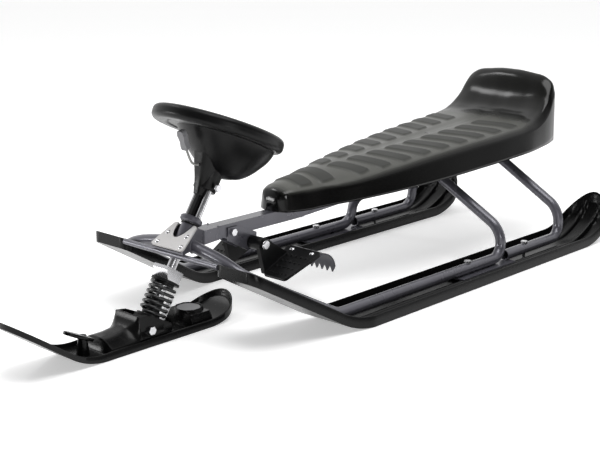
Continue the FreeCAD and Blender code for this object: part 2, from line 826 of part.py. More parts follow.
beam_drills = [Part.makeCylinder(size.bolt_diameter * 0.5, sky, Vector(station, 0, 0))
               for station in seat_bolt_stations()]
beam_drills.append(Part.makeCylinder(size.bolt_diameter * 0.5, size.axle_length,
                                     Vector(size.bracket_bolt_station, -size.axle_length * 0.5,
                                            size.bracket_bolt_height), Vector(0, 1, 0)))
main_beam = document.addObject("Part::Cut", "drilled_beam")
main_beam.Base = beam
main_beam.Tool = helper(beam_drills[0].fuse(beam_drills[1:]))
register(main_beam, "main_beam")

plug_place = Placement(Vector(bend_points[3].x, 0, bend_points[3].y), Rotation(Vector(0, 1, 0), 180 + size.beam_rise_angle))
plug = document.addObject("PartDesign::Body", "beam_plug")
plug_face = sketch_in(plug, "YZ_Plane", "plug_face")
draw(plug_face, [(-half_width, -half_height), (half_width, -half_height), (half_width, half_height),
                 (-half_width, half_height)])
plug_pad = plug.newObject("PartDesign::Pad", "plug_flange_pad")
plug_pad.Profile = plug_face
plug_pad.setExpression("Length", "sizes.plug_flange")
document.recompute()
plug_core = sketch_in(plug, "YZ_Plane", "plug_core")
core_width = half_width - wall - size.running_clearance
core_height = half_height - wall - size.running_clearance
draw(plug_core, [(-core_width, -core_height), (core_width, -core_height), (core_width, core_height),
                 (-core_width, core_height)])
core_pad = plug.newObject("PartDesign::Pad", "plug_core_pad")
core_pad.Profile = plug_core
core_pad.setExpression("Length", "sizes.plug_depth")
core_pad.Reversed = True
plug.Placement = plug_place
register(plug, "beam_plug")

# Nose: a folded sheet wedge round the head tube, its sloping cover and the cross tube below.


def head_clearance(radius):
    """A long cylinder on the steering axis, for cuts."""
    tool = Part.makeCylinder(radius, size.tube_diameter * 20)
    tool.Placement = axis_place(-size.tube_diameter * 10)
    return tool


def nose_frame_shape():
    """Two flared side plates and a floor, cut to the wedge's side outline."""
    outer = nose_plan(0)
    inner = nose_plan(size.nose_sheet)
    low = size.beam_axis_height - size.beam_height * 0.5
    high = size.beam_axis_height + size.beam_height * 0.5
    outline = [(size.nose_rear_station, low), (size.nose_flare_station, size.nose_floor_height),
               (size.nose_front_station, size.nose_floor_height), (size.nose_front_station, size.nose_front_height),
               (size.nose_top_station, size.nose_top_height), (size.nose_flare_station, high),
               (size.nose_rear_station, high)]
    left_plate = upright(outer + inner[::-1], low - sky, high + sky)
    side_block = sideways(outline, -size.nose_front_half_width, size.nose_front_half_width)
    left_plate = left_plate.common(side_block)
    floor = outer[1:] + [(along, -across) for along, across in outer[:0:-1]]
    base = upright(floor, size.nose_floor_height, size.nose_floor_height + size.nose_sheet)
    whole = left_plate.fuse([mirrored(left_plate), base]).removeSplitter()
    return whole.cut(head_clearance(size.head_tube_diameter * 0.5))


feature("nose_frame", nose_frame_shape())

cover_run = size.nose_front_station - size.nose_top_station
cover_fall = size.nose_top_height - size.nose_front_height
cover_slope = math.degrees(math.atan2(cover_fall, cover_run))
cover_length = math.hypot(cover_run, cover_fall) + size.nose_cover_lip
cover_place = Placement(Vector(size.nose_top_station, 0, size.nose_top_height) + Vector(0, 0, size.weld_gap),
                        Rotation(Vector(0, 1, 0), cover_slope))
cover_top = size.nose_cover_top_half_width
cover_front = size.nose_front_half_width + size.nose_cover_lip
cover = padded("nose_cover_plate", "XY_Plane",
               [(0, -cover_top), (cover_length, -cover_front), (cover_length, cover_front), (0, cover_top)],
               "sizes.nose_sheet", cover_place, False, ("sizes.nose_cover_corner", edges_along(Vector(0, 0, 1))))
cover_cut = document.addObject("Part::Cut", "nose_cover_cut")
cover_cut.Base = cover
cover_notch = head_clearance(size.collar_diameter * 0.5)
screw_places = []
for along_share, side in ((0.45, -1), (0.45, 1), (0.86, -1), (0.86, 1)):
    across = side * (cover_top + (cover_front - cover_top) * along_share - size.nose_screw_head_diameter)
    screw_places.append(cover_place.multVec(Vector(cover_length * along_share, across, size.nose_sheet)))
cover_up = cover_place.Rotation.multVec(Vector(0, 0, 1))
screw_radius = size.nose_screw_diameter * 0.5
drills = [Part.makeCylinder(screw_radius, size.nose_sheet * 3, place - cover_up * size.nose_sheet * 2, cover_up)
          for place in screw_places]
cover_cut.Tool = helper(cover_notch.fuse(drills))
register(cover_cut, "nose_cover")


def domed_screw(base, way, length, diameter, head_diameter, head_height):
    """A screw with a shallow domed head."""
    radius = head_diameter * 0.5
    ball = (radius * radius + head_height * head_height) / (2 * head_height)
    dome = Part.makeSphere(ball, base + way * (head_height - ball))
    slab = Part.makeCylinder(radius, head_height, base, way)
    shank = Part.makeCylinder(diameter * 0.5, length, base - way * length, way)
    return dome.common(slab).fuse(shank).removeSplitter()


feature("nose_screws", Part.makeCompound([
    domed_screw(place, cover_up, size.nose_sheet * 2, size.nose_screw_diameter, size.nose_screw_head_diameter,
                size.nose_screw_head_height) for place in screw_places]))

cross_radius = size.cross_tube_diameter * 0.5
cross_outer = cylinder("cross_outer", "sizes.cross_tube_diameter / 2", "sizes.cross_tube_length",
                       across_place(size.cross_tube_station, size.cross_tube_height, -size.cross_tube_length * 0.5))
cross_inner = cylinder("cross_inner", "sizes.cross_tube_diameter / 2 - sizes.tube_wall", "sizes.cross_tube_length",
                       across_place(size.cross_tube_station, size.cross_tube_height, -size.cross_tube_length * 0.5))
cross_tube = document.addObject("Part::Cut", "front_cross_tube")
cross_tube.Base = cross_outer
cross_tube.Tool = cross_inner
register(cross_tube, "front_cross_tube")

# Head tube, bushes, shaft and column on the steering axis.


def axis_ring(label, inner, outer, bottom, top):
    """A ring on the steering axis with its four sizes bound to the sheet."""
    body = document.addObject("PartDesign::Body", label)
    sketch = sketch_in(body, "XZ_Plane", label + "_outline")
    ring(sketch, inner, outer, bottom, top)
    turn = body.newObject("PartDesign::Revolution", label + "_turn")
    turn.Profile = sketch
    turn.ReferenceAxis = (sketch, ["V_Axis"])
    turn.Angle = 360
    return body


head_length = size.head_tube_top - size.head_tube_bottom
head_tube = turned("head_tube", [(size.head_tube_bore * 0.5, 0), (size.head_tube_diameter * 0.5, 0),
                                 (size.head_tube_diameter * 0.5, head_length),
                                 (size.head_tube_bore * 0.5, head_length)], axis_place(size.head_tube_bottom))
register(head_tube, "head_tube")
shaft_radius = size.shaft_diameter * 0.5
bush_bore = shaft_radius + size.running_clearance
bush_outline = [(bush_bore, -size.bush_depth), (size.head_tube_bore * 0.5, -size.bush_depth),
                (size.head_tube_bore * 0.5, 0), (size.bush_flange_diameter * 0.5, 0),
                (size.bush_flange_diameter * 0.5, size.bush_flange), (bush_bore, size.bush_flange)]
upper_bush = turned("upper_head_bush", bush_outline, axis_place(size.head_tube_top))
register(upper_bush, "upper_head_bush")
lower_place = axis_place(size.head_tube_bottom)
lower_place.Rotation = lower_place.Rotation.multiply(Rotation(Vector(1, 0, 0), 180))
lower_bush = turned("lower_head_bush", bush_outline, lower_place)
register(lower_bush, "lower_head_bush")

shaft = cylinder("steering_shaft", "sizes.shaft_diameter / 2", "sizes.shaft_top - sizes.shaft_bottom",
                 axis_place(size.shaft_bottom))
register(shaft, "steering_shaft")
collar_radius = size.collar_diameter * 0.5
collar_chamfer = size.collar_height * 0.25
collar = turned("column_collar", [(shaft_radius, 0), (collar_radius - collar_chamfer, 0),
                                  (collar_radius, collar_chamfer),
                                  (collar_radius, size.collar_height - collar_chamfer),
                                  (collar_radius - collar_chamfer, size.collar_height),
                                  (0, size.collar_height), (0, size.shaft_top - size.collar_bottom),
                                  (shaft_radius, size.shaft_top - size.collar_bottom)],
                axis_place(size.collar_bottom))
column_bottom = size.collar_bottom + size.collar_height
for side, name in ((1, "left"), (-1, "right")):
    place = axis_place(column_bottom)
    place.Base = place.Base + Vector(0, side * size.column_tube_spacing * 0.5, 0)
    outer = cylinder(name + "_column_outer", "sizes.column_tube_diameter / 2",
                     "sizes.column_top - sizes.collar_bottom - sizes.collar_height", place)
    inner = cylinder(name + "_column_bore", "sizes.column_tube_diameter / 2 - sizes.tube_wall",
                     "sizes.column_top - sizes.collar_bottom - sizes.collar_height", place)
    tube = document.addObject("Part::Cut", name + "_column_tube")
    tube.Base = outer
    tube.Tool = inner
    register(tube, name + "_column_tube")
register(collar, "column_collar")
shroud_half = size.shroud_thickness * 0.5
shroud = padded("column_shroud", "XY_Plane",
                [(-size.shroud_depth * 0.5, -shroud_half), (size.shroud_depth * 0.5, -shroud_half),
                 (size.shroud_depth * 0.5, shroud_half), (-size.shroud_depth * 0.5, shroud_half)],
                "sizes.shroud_top - sizes.shroud_bottom", axis_place(column_bottom + size.weld_gap), False,
                ("sizes.shroud_corner", edges_along(Vector(0, 0, 1))))
register(shroud, "column_shroud")

# Steering wheel: rim, dish, cap and the funnel-shaped hub under it.

wheel_place = Placement(Vector(size.wheel_station, 0, size.wheel_height),
                        Rotation(Vector(0, 1, 0), -size.wheel_tilt))
rim = axis_ring("wheel_rim", "sizes.wheel_diameter / 2 - sizes.rim_width", "sizes.wheel_diameter / 2",
                "0", "sizes.rim_height")
document.recompute()
rim_turn = rim.Tip
rim_round = rim.newObject("PartDesign::Fillet", "rim_round")
rim_round.Base = (rim_turn, [f"Edge{index}" for index, edge in enumerate(rim_turn.Shape.Edges, start=1)
                             if edge.isClosed()])
rim_round.setExpression("Radius", "sizes.rim_corner")
rim.Placement = Placement(wheel_place.multVec(Vector(0, 0, -size.rim_height * 0.5)), wheel_place.Rotation)
register(rim, "wheel_rim")

rim_bore = size.wheel_diameter * 0.5 - size.rim_width - size.running_clearance
dish_top = -size.dish_drop
dish_low = dish_top - size.dish_thickness
ring_inner = rim_bore - size.rim_corner
dish = turned("wheel_dish", [(0, dish_low), (rim_bore, dish_low), (rim_bore, dish_top + size.dish_ring_height),
                             (ring_inner, dish_top + size.dish_ring_height), (ring_inner, dish_top), (0, dish_top)],
              wheel_place)
register(dish, "wheel_dish")
cap_edge = size.cap_height * 0.35
cap_shoulder = size.cap_radius * 0.82
cap = turned("wheel_cap", [(0, dish_top), (size.cap_radius, dish_top), (size.cap_radius, dish_top + cap_edge),
                           (cap_shoulder, dish_top + size.cap_height * 0.85), (0, dish_top + size.cap_height)],
             wheel_place)
register(cap, "wheel_cap")


def circle_wire(place, radius):
    """A circle in the XY plane of a place."""
    wire = Part.Wire(Part.makeCircle(radius))
    wire.Placement = place
    return wire


def wheel_spot(forward, rise):
    """A place in the wheel's own frame."""
    return Placement(wheel_place.multVec(Vector(forward, 0, rise)), wheel_place.Rotation)


def funnel_solid(inset, top_grow, bottom_grow):
    """The hub's funnel between the dish and the column, drawn in by inset."""
    top = wheel_spot(-size.funnel_offset, dish_low + top_grow)
    bottom = axis_place(size.column_top - bottom_grow)
    middle_base = top.Base * 0.5 + bottom.Base * 0.5 + Vector(size.funnel_wall, 0, 0)
    middle = Placement(middle_base, Rotation(Vector(0, 1, 0), -(size.wheel_tilt + size.axis_rake) * 0.5))
    wires = [circle_wire(top, size.funnel_top_radius - inset), circle_wire(middle, size.funnel_middle_radius - inset),
             circle_wire(bottom, size.funnel_bottom_radius - inset)]
    return Part.makeLoft(wires, True, False)


funnel = funnel_solid(0, 0, size.funnel_base).cut(funnel_solid(size.funnel_wall, size.overrun, 0))
for side in (1, -1):
    socket_place = axis_place(column_bottom)
    socket_place.Base = socket_place.Base + Vector(0, side * size.column_tube_spacing * 0.5, 0)
    socket = Part.makeCylinder(size.column_tube_diameter * 0.5, size.column_top - column_bottom)
    socket.Placement = socket_place
    funnel = funnel.cut(socket)
shroud_socket = Part.makeBox(size.shroud_depth + size.weld_gap * 2, size.shroud_thickness + size.weld_gap * 2,
                             size.shroud_top - size.shroud_bottom + size.weld_gap * 2,
                             Vector(-size.shroud_depth * 0.5 - size.weld_gap,
                                    -shroud_half - size.weld_gap, 0))
shroud_socket.Placement = axis_place(column_bottom)
funnel = funnel.cut(shroud_socket)
hub_bolt_place = axis_place(size.hub_bolt_along)
hub_drill = Part.makeCylinder(size.bolt_diameter * 0.5, size.funnel_bottom_radius * 2 + size.overrun,
                              hub_bolt_place.Base - Vector(0, size.funnel_bottom_radius, 0), Vector(0, 1, 0))
hub_bolt_head = hub_bolt_place.Base + Vector(0, size.funnel_bottom_radius + size.weld_gap, 0)
hub_flat = Part.makeCylinder(size.bolt_head_diameter * 0.6, size.bolt_head_diameter, hub_bolt_head, Vector(0, 1, 0))
hub_bolt = bolt_shape(hub_bolt_head, Vector(0, 1, 0), size.funnel_wall, size.bolt_diameter,
                      size.bolt_head_diameter, size.bolt_head_height)
funnel = funnel.cut(hub_flat).cut(hub_drill)
feature("hub_bolt", hub_bolt)

# Tow handle on its cord, in front of the hub.

handle_place = Placement(Vector(size.handle_station, 0, size.handle_height),
                         Rotation(Vector(0, 1, 0), size.handle_tilt))
handle_half = size.handle_length * 0.5
handle_wide = size.handle_width * 0.5
handle_waist = handle_wide * 0.72
handle_plate = padded("tow_handle_plate", "YZ_Plane",
                      [(-handle_wide, handle_half * 0.5), (-handle_waist, -handle_half * 0.1),
                       (-handle_wide, -handle_half), (handle_wide, -handle_half), (handle_waist, -handle_half * 0.1),
                       (handle_wide, handle_half * 0.5), (handle_waist, handle_half), (-handle_waist, handle_half)],
                      "sizes.handle_thickness", None, True,
                      ("sizes.handle_corner", edges_along(Vector(1, 0, 0))))
handle_plate.Placement = handle_place
cord_end = handle_place.multVec(Vector(0, 0, -handle_half * 0.5))
cord_drill = Part.makeCylinder(size.cord_diameter * 0.5, size.handle_length, cord_end,
                               handle_place.Rotation.multVec(Vector(0, 0, -1)))
handle = document.addObject("Part::Cut", "tow_handle")
handle.Base = handle_plate
handle.Tool = helper(cord_drill)
register(handle, "tow_handle")

cord_start = Vector(size.wheel_station + size.funnel_top_radius * 0.5, 0, size.outlet_height)
cord_low = handle_place.multVec(Vector(0, 0, -handle_half - size.handle_length * 0.9))
cord_out = Vector(cord_low.x - size.handle_width * 0.4, 0, size.outlet_height)
cord_points = [cord_start, cord_out, cord_end + (cord_low - cord_end) * 0.62, cord_end]


def cord_radius(points, index):
    """The largest tangent bend that leaves straight runs beside it."""
    before = points[index - 1] - points[index]
    after = points[index + 1] - points[index]
    half_turn = (math.pi - before.getAngle(after)) * 0.5
    return 0.45 * min(before.Length, after.Length) / math.tan(half_turn)


cord_radii = [cord_radius(cord_points, 1), cord_radius(cord_points, 2)]
print("cord bend radii", [round(radius, 2) for radius in cord_radii])
cord_path = bent_path(cord_points, cord_radii)
print("cord points", [tuple(round(value, 2) for value in point) for point in cord_points],
      "length", round(cord_path.Length, 1))
feature("tow_cord", round_along(cord_path, size.cord_diameter * 0.5))
cord_outlet = round_along(cord_path, size.cord_diameter * 0.5 + size.weld_gap)
feature("steering_hub", funnel.cut(cord_outlet))

# Fork bracket, spring, guide and slider along the steering axis.

sheet_thick = size.fork_sheet
fork_half = size.fork_half_width
fork_outline = [(size.fork_rear, size.fork_bottom), (size.fork_front_bottom, size.fork_bottom),
                (size.fork_front_top, size.fork_top - sheet_thick * 2), (size.fork_front_top, size.fork_top),
                (size.fork_rear, size.fork_top)]
fork_inner = [(size.fork_rear - size.overrun, size.fork_bottom + sheet_thick),
              (size.fork_front_bottom - sheet_thick, size.fork_bottom + sheet_thick),
              (size.fork_front_top - sheet_thick, size.fork_top - sheet_thick * 2),
              (size.fork_front_top - sheet_thick, size.fork_top - sheet_thick),
              (size.fork_rear - size.overrun, size.fork_top - sheet_thick)]
fork = sideways(fork_outline, -fork_half, fork_half)
fork = fork.cut(sideways(fork_inner, sheet_thick - fork_half, fork_half - sheet_thick))
fork = fork.cut(Part.makeCylinder(shaft_radius, size.head_tube_diameter,
                                  Vector(0, 0, size.fork_top - sheet_thick - size.overrun * 0.25)))
fork = fork.cut(Part.makeCylinder(size.guide_rod_diameter * 0.5, size.head_tube_diameter,
                                  Vector(0, 0, size.fork_bottom - size.head_tube_diameter * 0.5)))
blade_forward = -size.spring_diameter * 0.5 - size.blade_thickness * 2
feature("fork_bracket", fork, axis_place())
fork_nut = cylinder("fork_nut", "sizes.shaft_diameter * 0.62", "sizes.bolt_head_height",
                    axis_place(size.shaft_bottom - size.bolt_head_height))
register(fork_nut, "fork_nut")

seat_radius = size.spring_seat_diameter * 0.5
seat_boss = size.spring_seat_boss_diameter * 0.5
rod_radius = size.guide_rod_diameter * 0.5
upper_seat = turned("upper_spring_seat",
                    [(rod_radius, 0), (seat_radius, 0), (seat_radius, -size.spring_seat_height),
                     (seat_boss, -size.spring_seat_height),
                     (seat_boss, -size.spring_seat_height - size.spring_seat_boss_height),
                     (rod_radius, -size.spring_seat_height - size.spring_seat_boss_height)],
                    axis_place(size.fork_bottom))
register(upper_seat, "upper_spring_seat")
guide_rod = cylinder("guide_rod", "sizes.guide_rod_diameter / 2",
                     "sizes.fork_bottom + sizes.fork_sheet - sizes.guide_rod_bottom", axis_place(size.guide_rod_bottom))
register(guide_rod, "guide_rod")
tube_bore = rod_radius + size.running_clearance
slider = turned("guide_tube",
                [(tube_bore, size.guide_tube_top), (size.guide_tube_diameter * 0.5, size.guide_tube_top),
                 (size.guide_tube_diameter * 0.5, size.spring_bottom), (0, size.spring_bottom),
                 (0, size.spring_bottom + size.spring_seat_height),
                 (tube_bore, size.spring_bottom + size.spring_seat_height)], axis_place())
register(slider, "guide_tube")
lower_seat = turned("lower_spring_seat",
                    [(0, size.spring_bottom - size.spring_seat_height),
                     (seat_radius, size.spring_bottom - size.spring_seat_height), (seat_radius, size.spring_bottom),
                     (0, size.spring_bottom)], axis_place())
register(lower_seat, "lower_spring_seat")


def coil_path(radius, turns, bottom, top, dead_share):
    """A compression coil about Z with flattened end turns, as arcs of an eighth of a turn."""
    steps = int(round(turns * 4))
    total = 2 * math.pi * turns
    dead = dead_share * 2 * math.pi

    def height(turn):
        inside = min(max(turn - dead, 0), total - 2 * dead)
        return bottom + (top - bottom) * inside / (total - 2 * dead)

    def spot(turn):
        return Vector(radius * math.cos(turn), radius * math.sin(turn), height(turn))

    def way(turn):
        tiny = 1e-4
        return (spot(turn + tiny) - spot(turn - tiny)).normalize()

    edges = []
    for step in range(steps):
        start = total * step / steps
        end = total * (step + 1) / steps
        edges.extend(biarc(spot(start), way(start), spot(end), way(end)))
    return Part.Wire(edges)


def coil_gap(path, wire, turns):
    """The smallest gap between neighbouring turns, measured on points one turn apart."""
    points = path.discretize(int(turns * 48) + 1)
    gaps = [(points[index + 48] - points[index]).Length - wire for index in range(len(points) - 48)]
    return min(gaps), max(gaps)


wire_radius = size.spring_wire * 0.5
spring_radius = (size.spring_diameter - size.spring_wire) * 0.5
spring_path = coil_path(spring_radius, size.spring_turns, size.spring_bottom + wire_radius + size.weld_gap,
                        size.spring_top - wire_radius - size.weld_gap, 0.0)
print("spring gaps", [round(gap, 2) for gap in coil_gap(spring_path, size.spring_wire, size.spring_turns)])
feature("suspension_spring", round_along(spring_path, wire_radius), axis_place())

axis_pivot = axis_place().inverse().multVec(Vector(size.pivot_station, 0, size.pivot_height))
yoke_top = size.spring_bottom - size.spring_seat_height
yoke_ring = size.yoke_radius
yoke_neck = sideways([(axis_pivot.x - yoke_ring, axis_pivot.z), (axis_pivot.x + yoke_ring, axis_pivot.z),
                      (axis_pivot.x + yoke_ring * 0.6, yoke_top), (-yoke_ring, yoke_top)],
                     -size.yoke_width * 0.5, size.yoke_width * 0.5)
yoke_eye = Part.makeCylinder(yoke_ring, size.yoke_width, Vector(axis_pivot.x, -size.yoke_width * 0.5, axis_pivot.z),
                             Vector(0, 1, 0))
yoke_bore = Part.makeCylinder(size.pivot_diameter * 0.5, size.yoke_width * 2,
                              Vector(axis_pivot.x, -size.yoke_width, axis_pivot.z), Vector(0, 1, 0))
feature("ski_yoke", yoke_neck.fuse(yoke_eye).removeSplitter().cut(yoke_bore), axis_place())
blade_half = size.blade_width * 0.5
blade = sideways([(blade_forward, yoke_top), (blade_forward + size.blade_thickness, yoke_top),
                  (blade_forward + size.blade_thickness, size.blade_top), (blade_forward, size.blade_top)],
                 -blade_half, blade_half)
blade_foot = sideways([(blade_forward, yoke_top - size.blade_thickness), (-yoke_ring, yoke_top - size.blade_thickness),
                       (-yoke_ring, yoke_top), (blade_forward, yoke_top)], -blade_half, blade_half)
feature("guide_blade", blade.fuse(blade_foot).removeSplitter(), axis_place())

cheek_outer = size.cheek_gap * 0.5 + size.cheek_thickness
pivot_length = cheek_outer * 2 + size.weld_gap * 2 + size.pivot_head_height
pivot_base = Vector(size.pivot_station, cheek_outer + size.weld_gap, size.pivot_height)
feature("ski_pivot_bolt", bolt_shape(pivot_base, Vector(0, 1, 0), pivot_length, size.pivot_diameter,
                                     size.pivot_head_diameter, size.pivot_head_height))
nut_base = Vector(size.pivot_station, -cheek_outer - size.weld_gap, size.pivot_height)
pivot_nut = bolt_shape(nut_base, Vector(0, -1, 0), size.weld_gap * 0.5, size.pivot_diameter,
                       size.pivot_head_diameter, size.pivot_head_height)
pivot_nut = pivot_nut.cut(Part.makeCylinder(size.pivot_diameter * 0.5, pivot_length,
                                            pivot_base - Vector(0, pivot_length, 0), Vector(0, 1, 0)))
feature("ski_pivot_nut", pivot_nut)

# Front ski: a wide blade with a low wall, a saddle, a ridge, a hump with a disc, and a hook for a tow rope.

front_form = SkiForm(size.front_ski_tip_station, size.front_ski_bend_station, size.front_ski_bend_radius,
                     size.front_ski_tip_angle, size.front_ski_tail_station, size.front_ski_tail_bend_station,
                     size.front_ski_tail_bend_radius)


def front_plan(inset, open_nose):
    """The front ski's plan, drawn in by inset, with the nose left open for the inside of the wall."""
    wide = size.front_ski_half_width - inset
    tail_wide = size.front_ski_tail_half_width - inset
    tail = size.front_ski_tail_station + inset
    tip = size.front_ski_tip_station
    nose_run = tip - size.front_ski_widest_station
    tail_run = size.front_ski_tail_bend_station - tail
    tail_side = [(tail_share, wide_share) for tail_share, wide_share in ((0.62, 0.86), (0.22, 0.55))]
    right = [Vector(size.front_ski_tail_bend_station, -tail_wide, 0)]
    right += [Vector(tail + tail_run * along, -tail_wide * across, 0) for along, across in tail_side]
    left = [Vector(point.x, -point.y, 0) for point in right[::-1]]
    tail_curve = Part.BSplineCurve()
    tail_curve.interpolate(left[::-1] + [Vector(tail, 0, 0)] + right[::-1])
    start = Vector(size.front_ski_widest_station, -wide, 0)
    end = Vector(size.front_ski_widest_station, wide, 0)
    if open_nose:
        far = tip + size.overrun
        nose = [Part.makeLine(start, Vector(far, -wide - inset, 0)),
                Part.makeLine(Vector(far, -wide - inset, 0), Vector(far, wide + inset, 0)),
                Part.makeLine(Vector(far, wide + inset, 0), end)]
    else:
        shares = ((0.42, 0.94), (0.72, 0.72), (0.92, 0.38))
        side = [Vector(start.x + nose_run * along, -wide * across, 0) for along, across in shares]
        curve = Part.BSplineCurve()
        curve.interpolate([start] + side + [Vector(tip, 0, 0)]
                          + [Vector(point.x, -point.y, 0) for point in side[::-1]] + [end])
        nose = [curve.toShape()]
    edges = [tail_curve.toShape(), Part.makeLine(right[0], start), Part.makeLine(end, left[-1])] + nose
    plan = Part.Face(Part.Wire(Part.__sortEdges__(edges)))
    plan.translate(Vector(0, 0, -size.overrun))
    return plan.extrude(Vector(0, 0, sky))


def tapered_block(rear, front, half_width, bottom, top, draft, top_front=None):
    """A moulded block that narrows upward on all sides."""
    low = [Vector(rear, -half_width, bottom), Vector(front, -half_width, bottom), Vector(front, half_width, bottom),
           Vector(rear, half_width, bottom)]
    high_front = front - draft if top_front is None else top_front
    high = [Vector(rear + draft, draft - half_width, top), Vector(high_front, draft - half_width, top),
            Vector(high_front, half_width - draft, top), Vector(rear + draft, half_width - draft, top)]
    wires = [Part.makePolygon(points + [points[0]]) for points in (low, high)]
    return Part.makeLoft(wires, True, True)


def front_ski_shape():
    """The front ski as one moulding."""
    wide = size.front_ski_half_width + size.overrun
    over = size.overrun
    blade = front_form.band(0, size.front_ski_wall_height, 0, -wide, wide).common(front_plan(0, False))
    hollow = front_form.band(size.front_ski_floor, size.front_ski_wall_height + size.front_ski_bend_radius * 0.5,
                             over, -wide, wide)
    blade = blade.cut(hollow.common(front_plan(size.front_ski_wall, True)))
    base = size.front_ski_floor * 0.5
    hump = tapered_block(size.hump_rear_station, size.hump_front_station, size.hump_half_width, base,
                         size.hump_height, size.hump_draft)
    hump_rear = front_form.band(base, size.hump_height + sky * 0.2, over, -wide, wide)
    disc = Part.makeCylinder(size.disc_radius, size.disc_height - base, Vector(size.disc_station, 0, base))
    recess = Part.makeCylinder(size.disc_recess_radius, size.disc_height,
                               Vector(size.disc_station, 0, size.disc_height - size.disc_recess_depth))
    ridge = tapered_block(size.cheek_front_station - size.buttress_length, size.ridge_front_station,
                          size.ridge_half_width, base, size.ridge_height, size.ridge_half_width * 0.2,
                          size.cheek_front_station + size.buttress_length)
    pieces = [hump.common(hump_rear), disc, ridge]
    cheek_side = [(size.cheek_rear_station, base), (size.cheek_front_station, base),
                  (size.cheek_front_station - size.buttress_length * 0.5, size.cheek_top - size.fork_sheet),
                  (size.cheek_front_station - size.buttress_length, size.cheek_top),
                  (size.cheek_front_station - size.buttress_length * 2, size.cheek_top - size.fork_sheet),
                  (size.cheek_rear_station, size.cheek_rear_height)]
    for side in (-1, 1):
        inner = side * size.cheek_gap * 0.5
        pieces.append(sideways(cheek_side, inner, inner + side * size.cheek_thickness))
        front = size.cheek_front_station - size.buttress_length * 0.5
        outer = side * (cheek_outer - size.fork_sheet)
        buttress = polygon_prism([Vector(front, outer, base), Vector(front, outer + side * size.buttress_reach, base),
                                  Vector(front, outer, size.cheek_top - size.fork_sheet)],
                                 Vector(-size.buttress_length, 0, 0))
        pieces.append(buttress)
    neck = Part.makeCylinder(size.hook_neck_diameter * 0.5, size.hook_height - base,
                             Vector(size.hook_station, 0, base))
    pieces.append(neck)
    pieces.append(hook_tab())
    whole = blade.fuse(pieces).removeSplitter()
    axle = Part.makeCylinder(size.pivot_diameter * 0.5 + size.running_clearance, wide * 2,
                             Vector(size.pivot_station, -wide, size.pivot_height), Vector(0, 1, 0))
    whole = whole.cut(recess).cut(axle)
    groove_band = front_form.band(-over, size.front_ski_groove_depth, over, -wide, wide)
    for step in (-1, 0, 1):
        middle = step * size.front_ski_groove_spacing
        low = middle - size.front_ski_groove_width * 0.5
        strip = Part.makeBox(size.front_ski_bend_station - size.front_ski_tail_bend_station,
                             size.front_ski_groove_width, sky,
                             Vector(size.front_ski_tail_bend_station, low, -over))
        whole = whole.cut(groove_band.common(strip))
    return whole


def hook_tab():
    """The oval tab on the hook's neck, raised at its front."""
    half = size.hook_length * 0.5
    wide = size.hook_width * 0.5
    straight = half - wide
    edges = [Part.makeLine(Vector(-straight, -wide, 0), Vector(straight, -wide, 0)),
             Part.Arc(Vector(straight, -wide, 0), Vector(half, 0, 0), Vector(straight, wide, 0)).toShape(),
             Part.makeLine(Vector(straight, wide, 0), Vector(-straight, wide, 0)),
             Part.Arc(Vector(-straight, wide, 0), Vector(-half, 0, 0), Vector(-straight, -wide, 0)).toShape()]
    tab = Part.Face(Part.Wire(edges)).extrude(Vector(0, 0, size.hook_thickness))
    tab = tab.makeFillet(size.hook_thickness * 0.3, [edge for edge in tab.Edges if edge.Length > half])
    tab.Placement = Placement(Vector(size.hook_station, 0, size.hook_height - size.hook_thickness * 0.6),
                              Rotation(Vector(0, 1, 0), -size.hook_tilt))
    return tab


feature("front_ski", front_ski_shape())
disc_cap = cylinder("front_ski_disc", "sizes.disc_recess_radius - sizes.running_clearance", "sizes.disc_cap_height",
                    Placement(Vector(size.disc_station, 0, size.disc_height - size.disc_recess_depth), Rotation()))
register(disc_cap, "front_ski_disc")

# Brake: bracket under the beam, axle, two pedals with claws, and the return spring.

beam_side = size.beam_width * 0.5
bracket_low = size.beam_axis_height - size.beam_height * 0.5
bracket_plate_outline = [(size.bracket_front_station, size.bracket_top_height),
                         (size.bracket_front_station - size.beam_height, size.bracket_top_height),
                         (size.bracket_rear_station, bracket_low - size.bracket_sheet),
                         (size.bracket_rear_station, size.bracket_bottom_height),
                         (size.axle_station + size.axle_diameter, size.bracket_bottom_height),
                         (size.bracket_front_station, bracket_low - size.bracket_sheet * 2)]
bracket_plate = sideways(bracket_plate_outline, beam_side, beam_side + size.bracket_sheet)
bracket_web = Part.makeBox(size.beam_height, size.beam_width, size.bracket_sheet,
                           Vector(size.bracket_front_station - size.beam_height, -beam_side,
                                  bracket_low - size.bracket_sheet))
bracket = bracket_plate.fuse([mirrored(bracket_plate), bracket_web]).removeSplitter()
bracket_hole = Part.makeCylinder(size.axle_diameter * 0.5 + size.running_clearance, size.axle_length,
                                 Vector(size.axle_station, -size.axle_length * 0.5, size.axle_height),
                                 Vector(0, 1, 0))
bracket = bracket.cut(bracket_hole)
bracket_bolt_head = Vector(size.bracket_bolt_station, beam_side + size.bracket_sheet, size.bracket_bolt_height)
bracket_bolts = [bolt_shape(bracket_bolt_head, Vector(0, 1, 0), size.bracket_sheet + size.beam_wall,
                            size.bolt_diameter, size.bolt_head_diameter, size.bolt_head_height)]
bracket_bolts.append(mirrored(bracket_bolts[0]))
bolt_bore = Part.makeCylinder(size.bolt_diameter * 0.5, size.axle_length,
                              bracket_bolt_head - Vector(0, size.axle_length * 0.5, 0), Vector(0, 1, 0))
feature("brake_bracket", bracket.cut(bolt_bore))
feature("brake_bracket_bolts", Part.makeCompound(bracket_bolts))

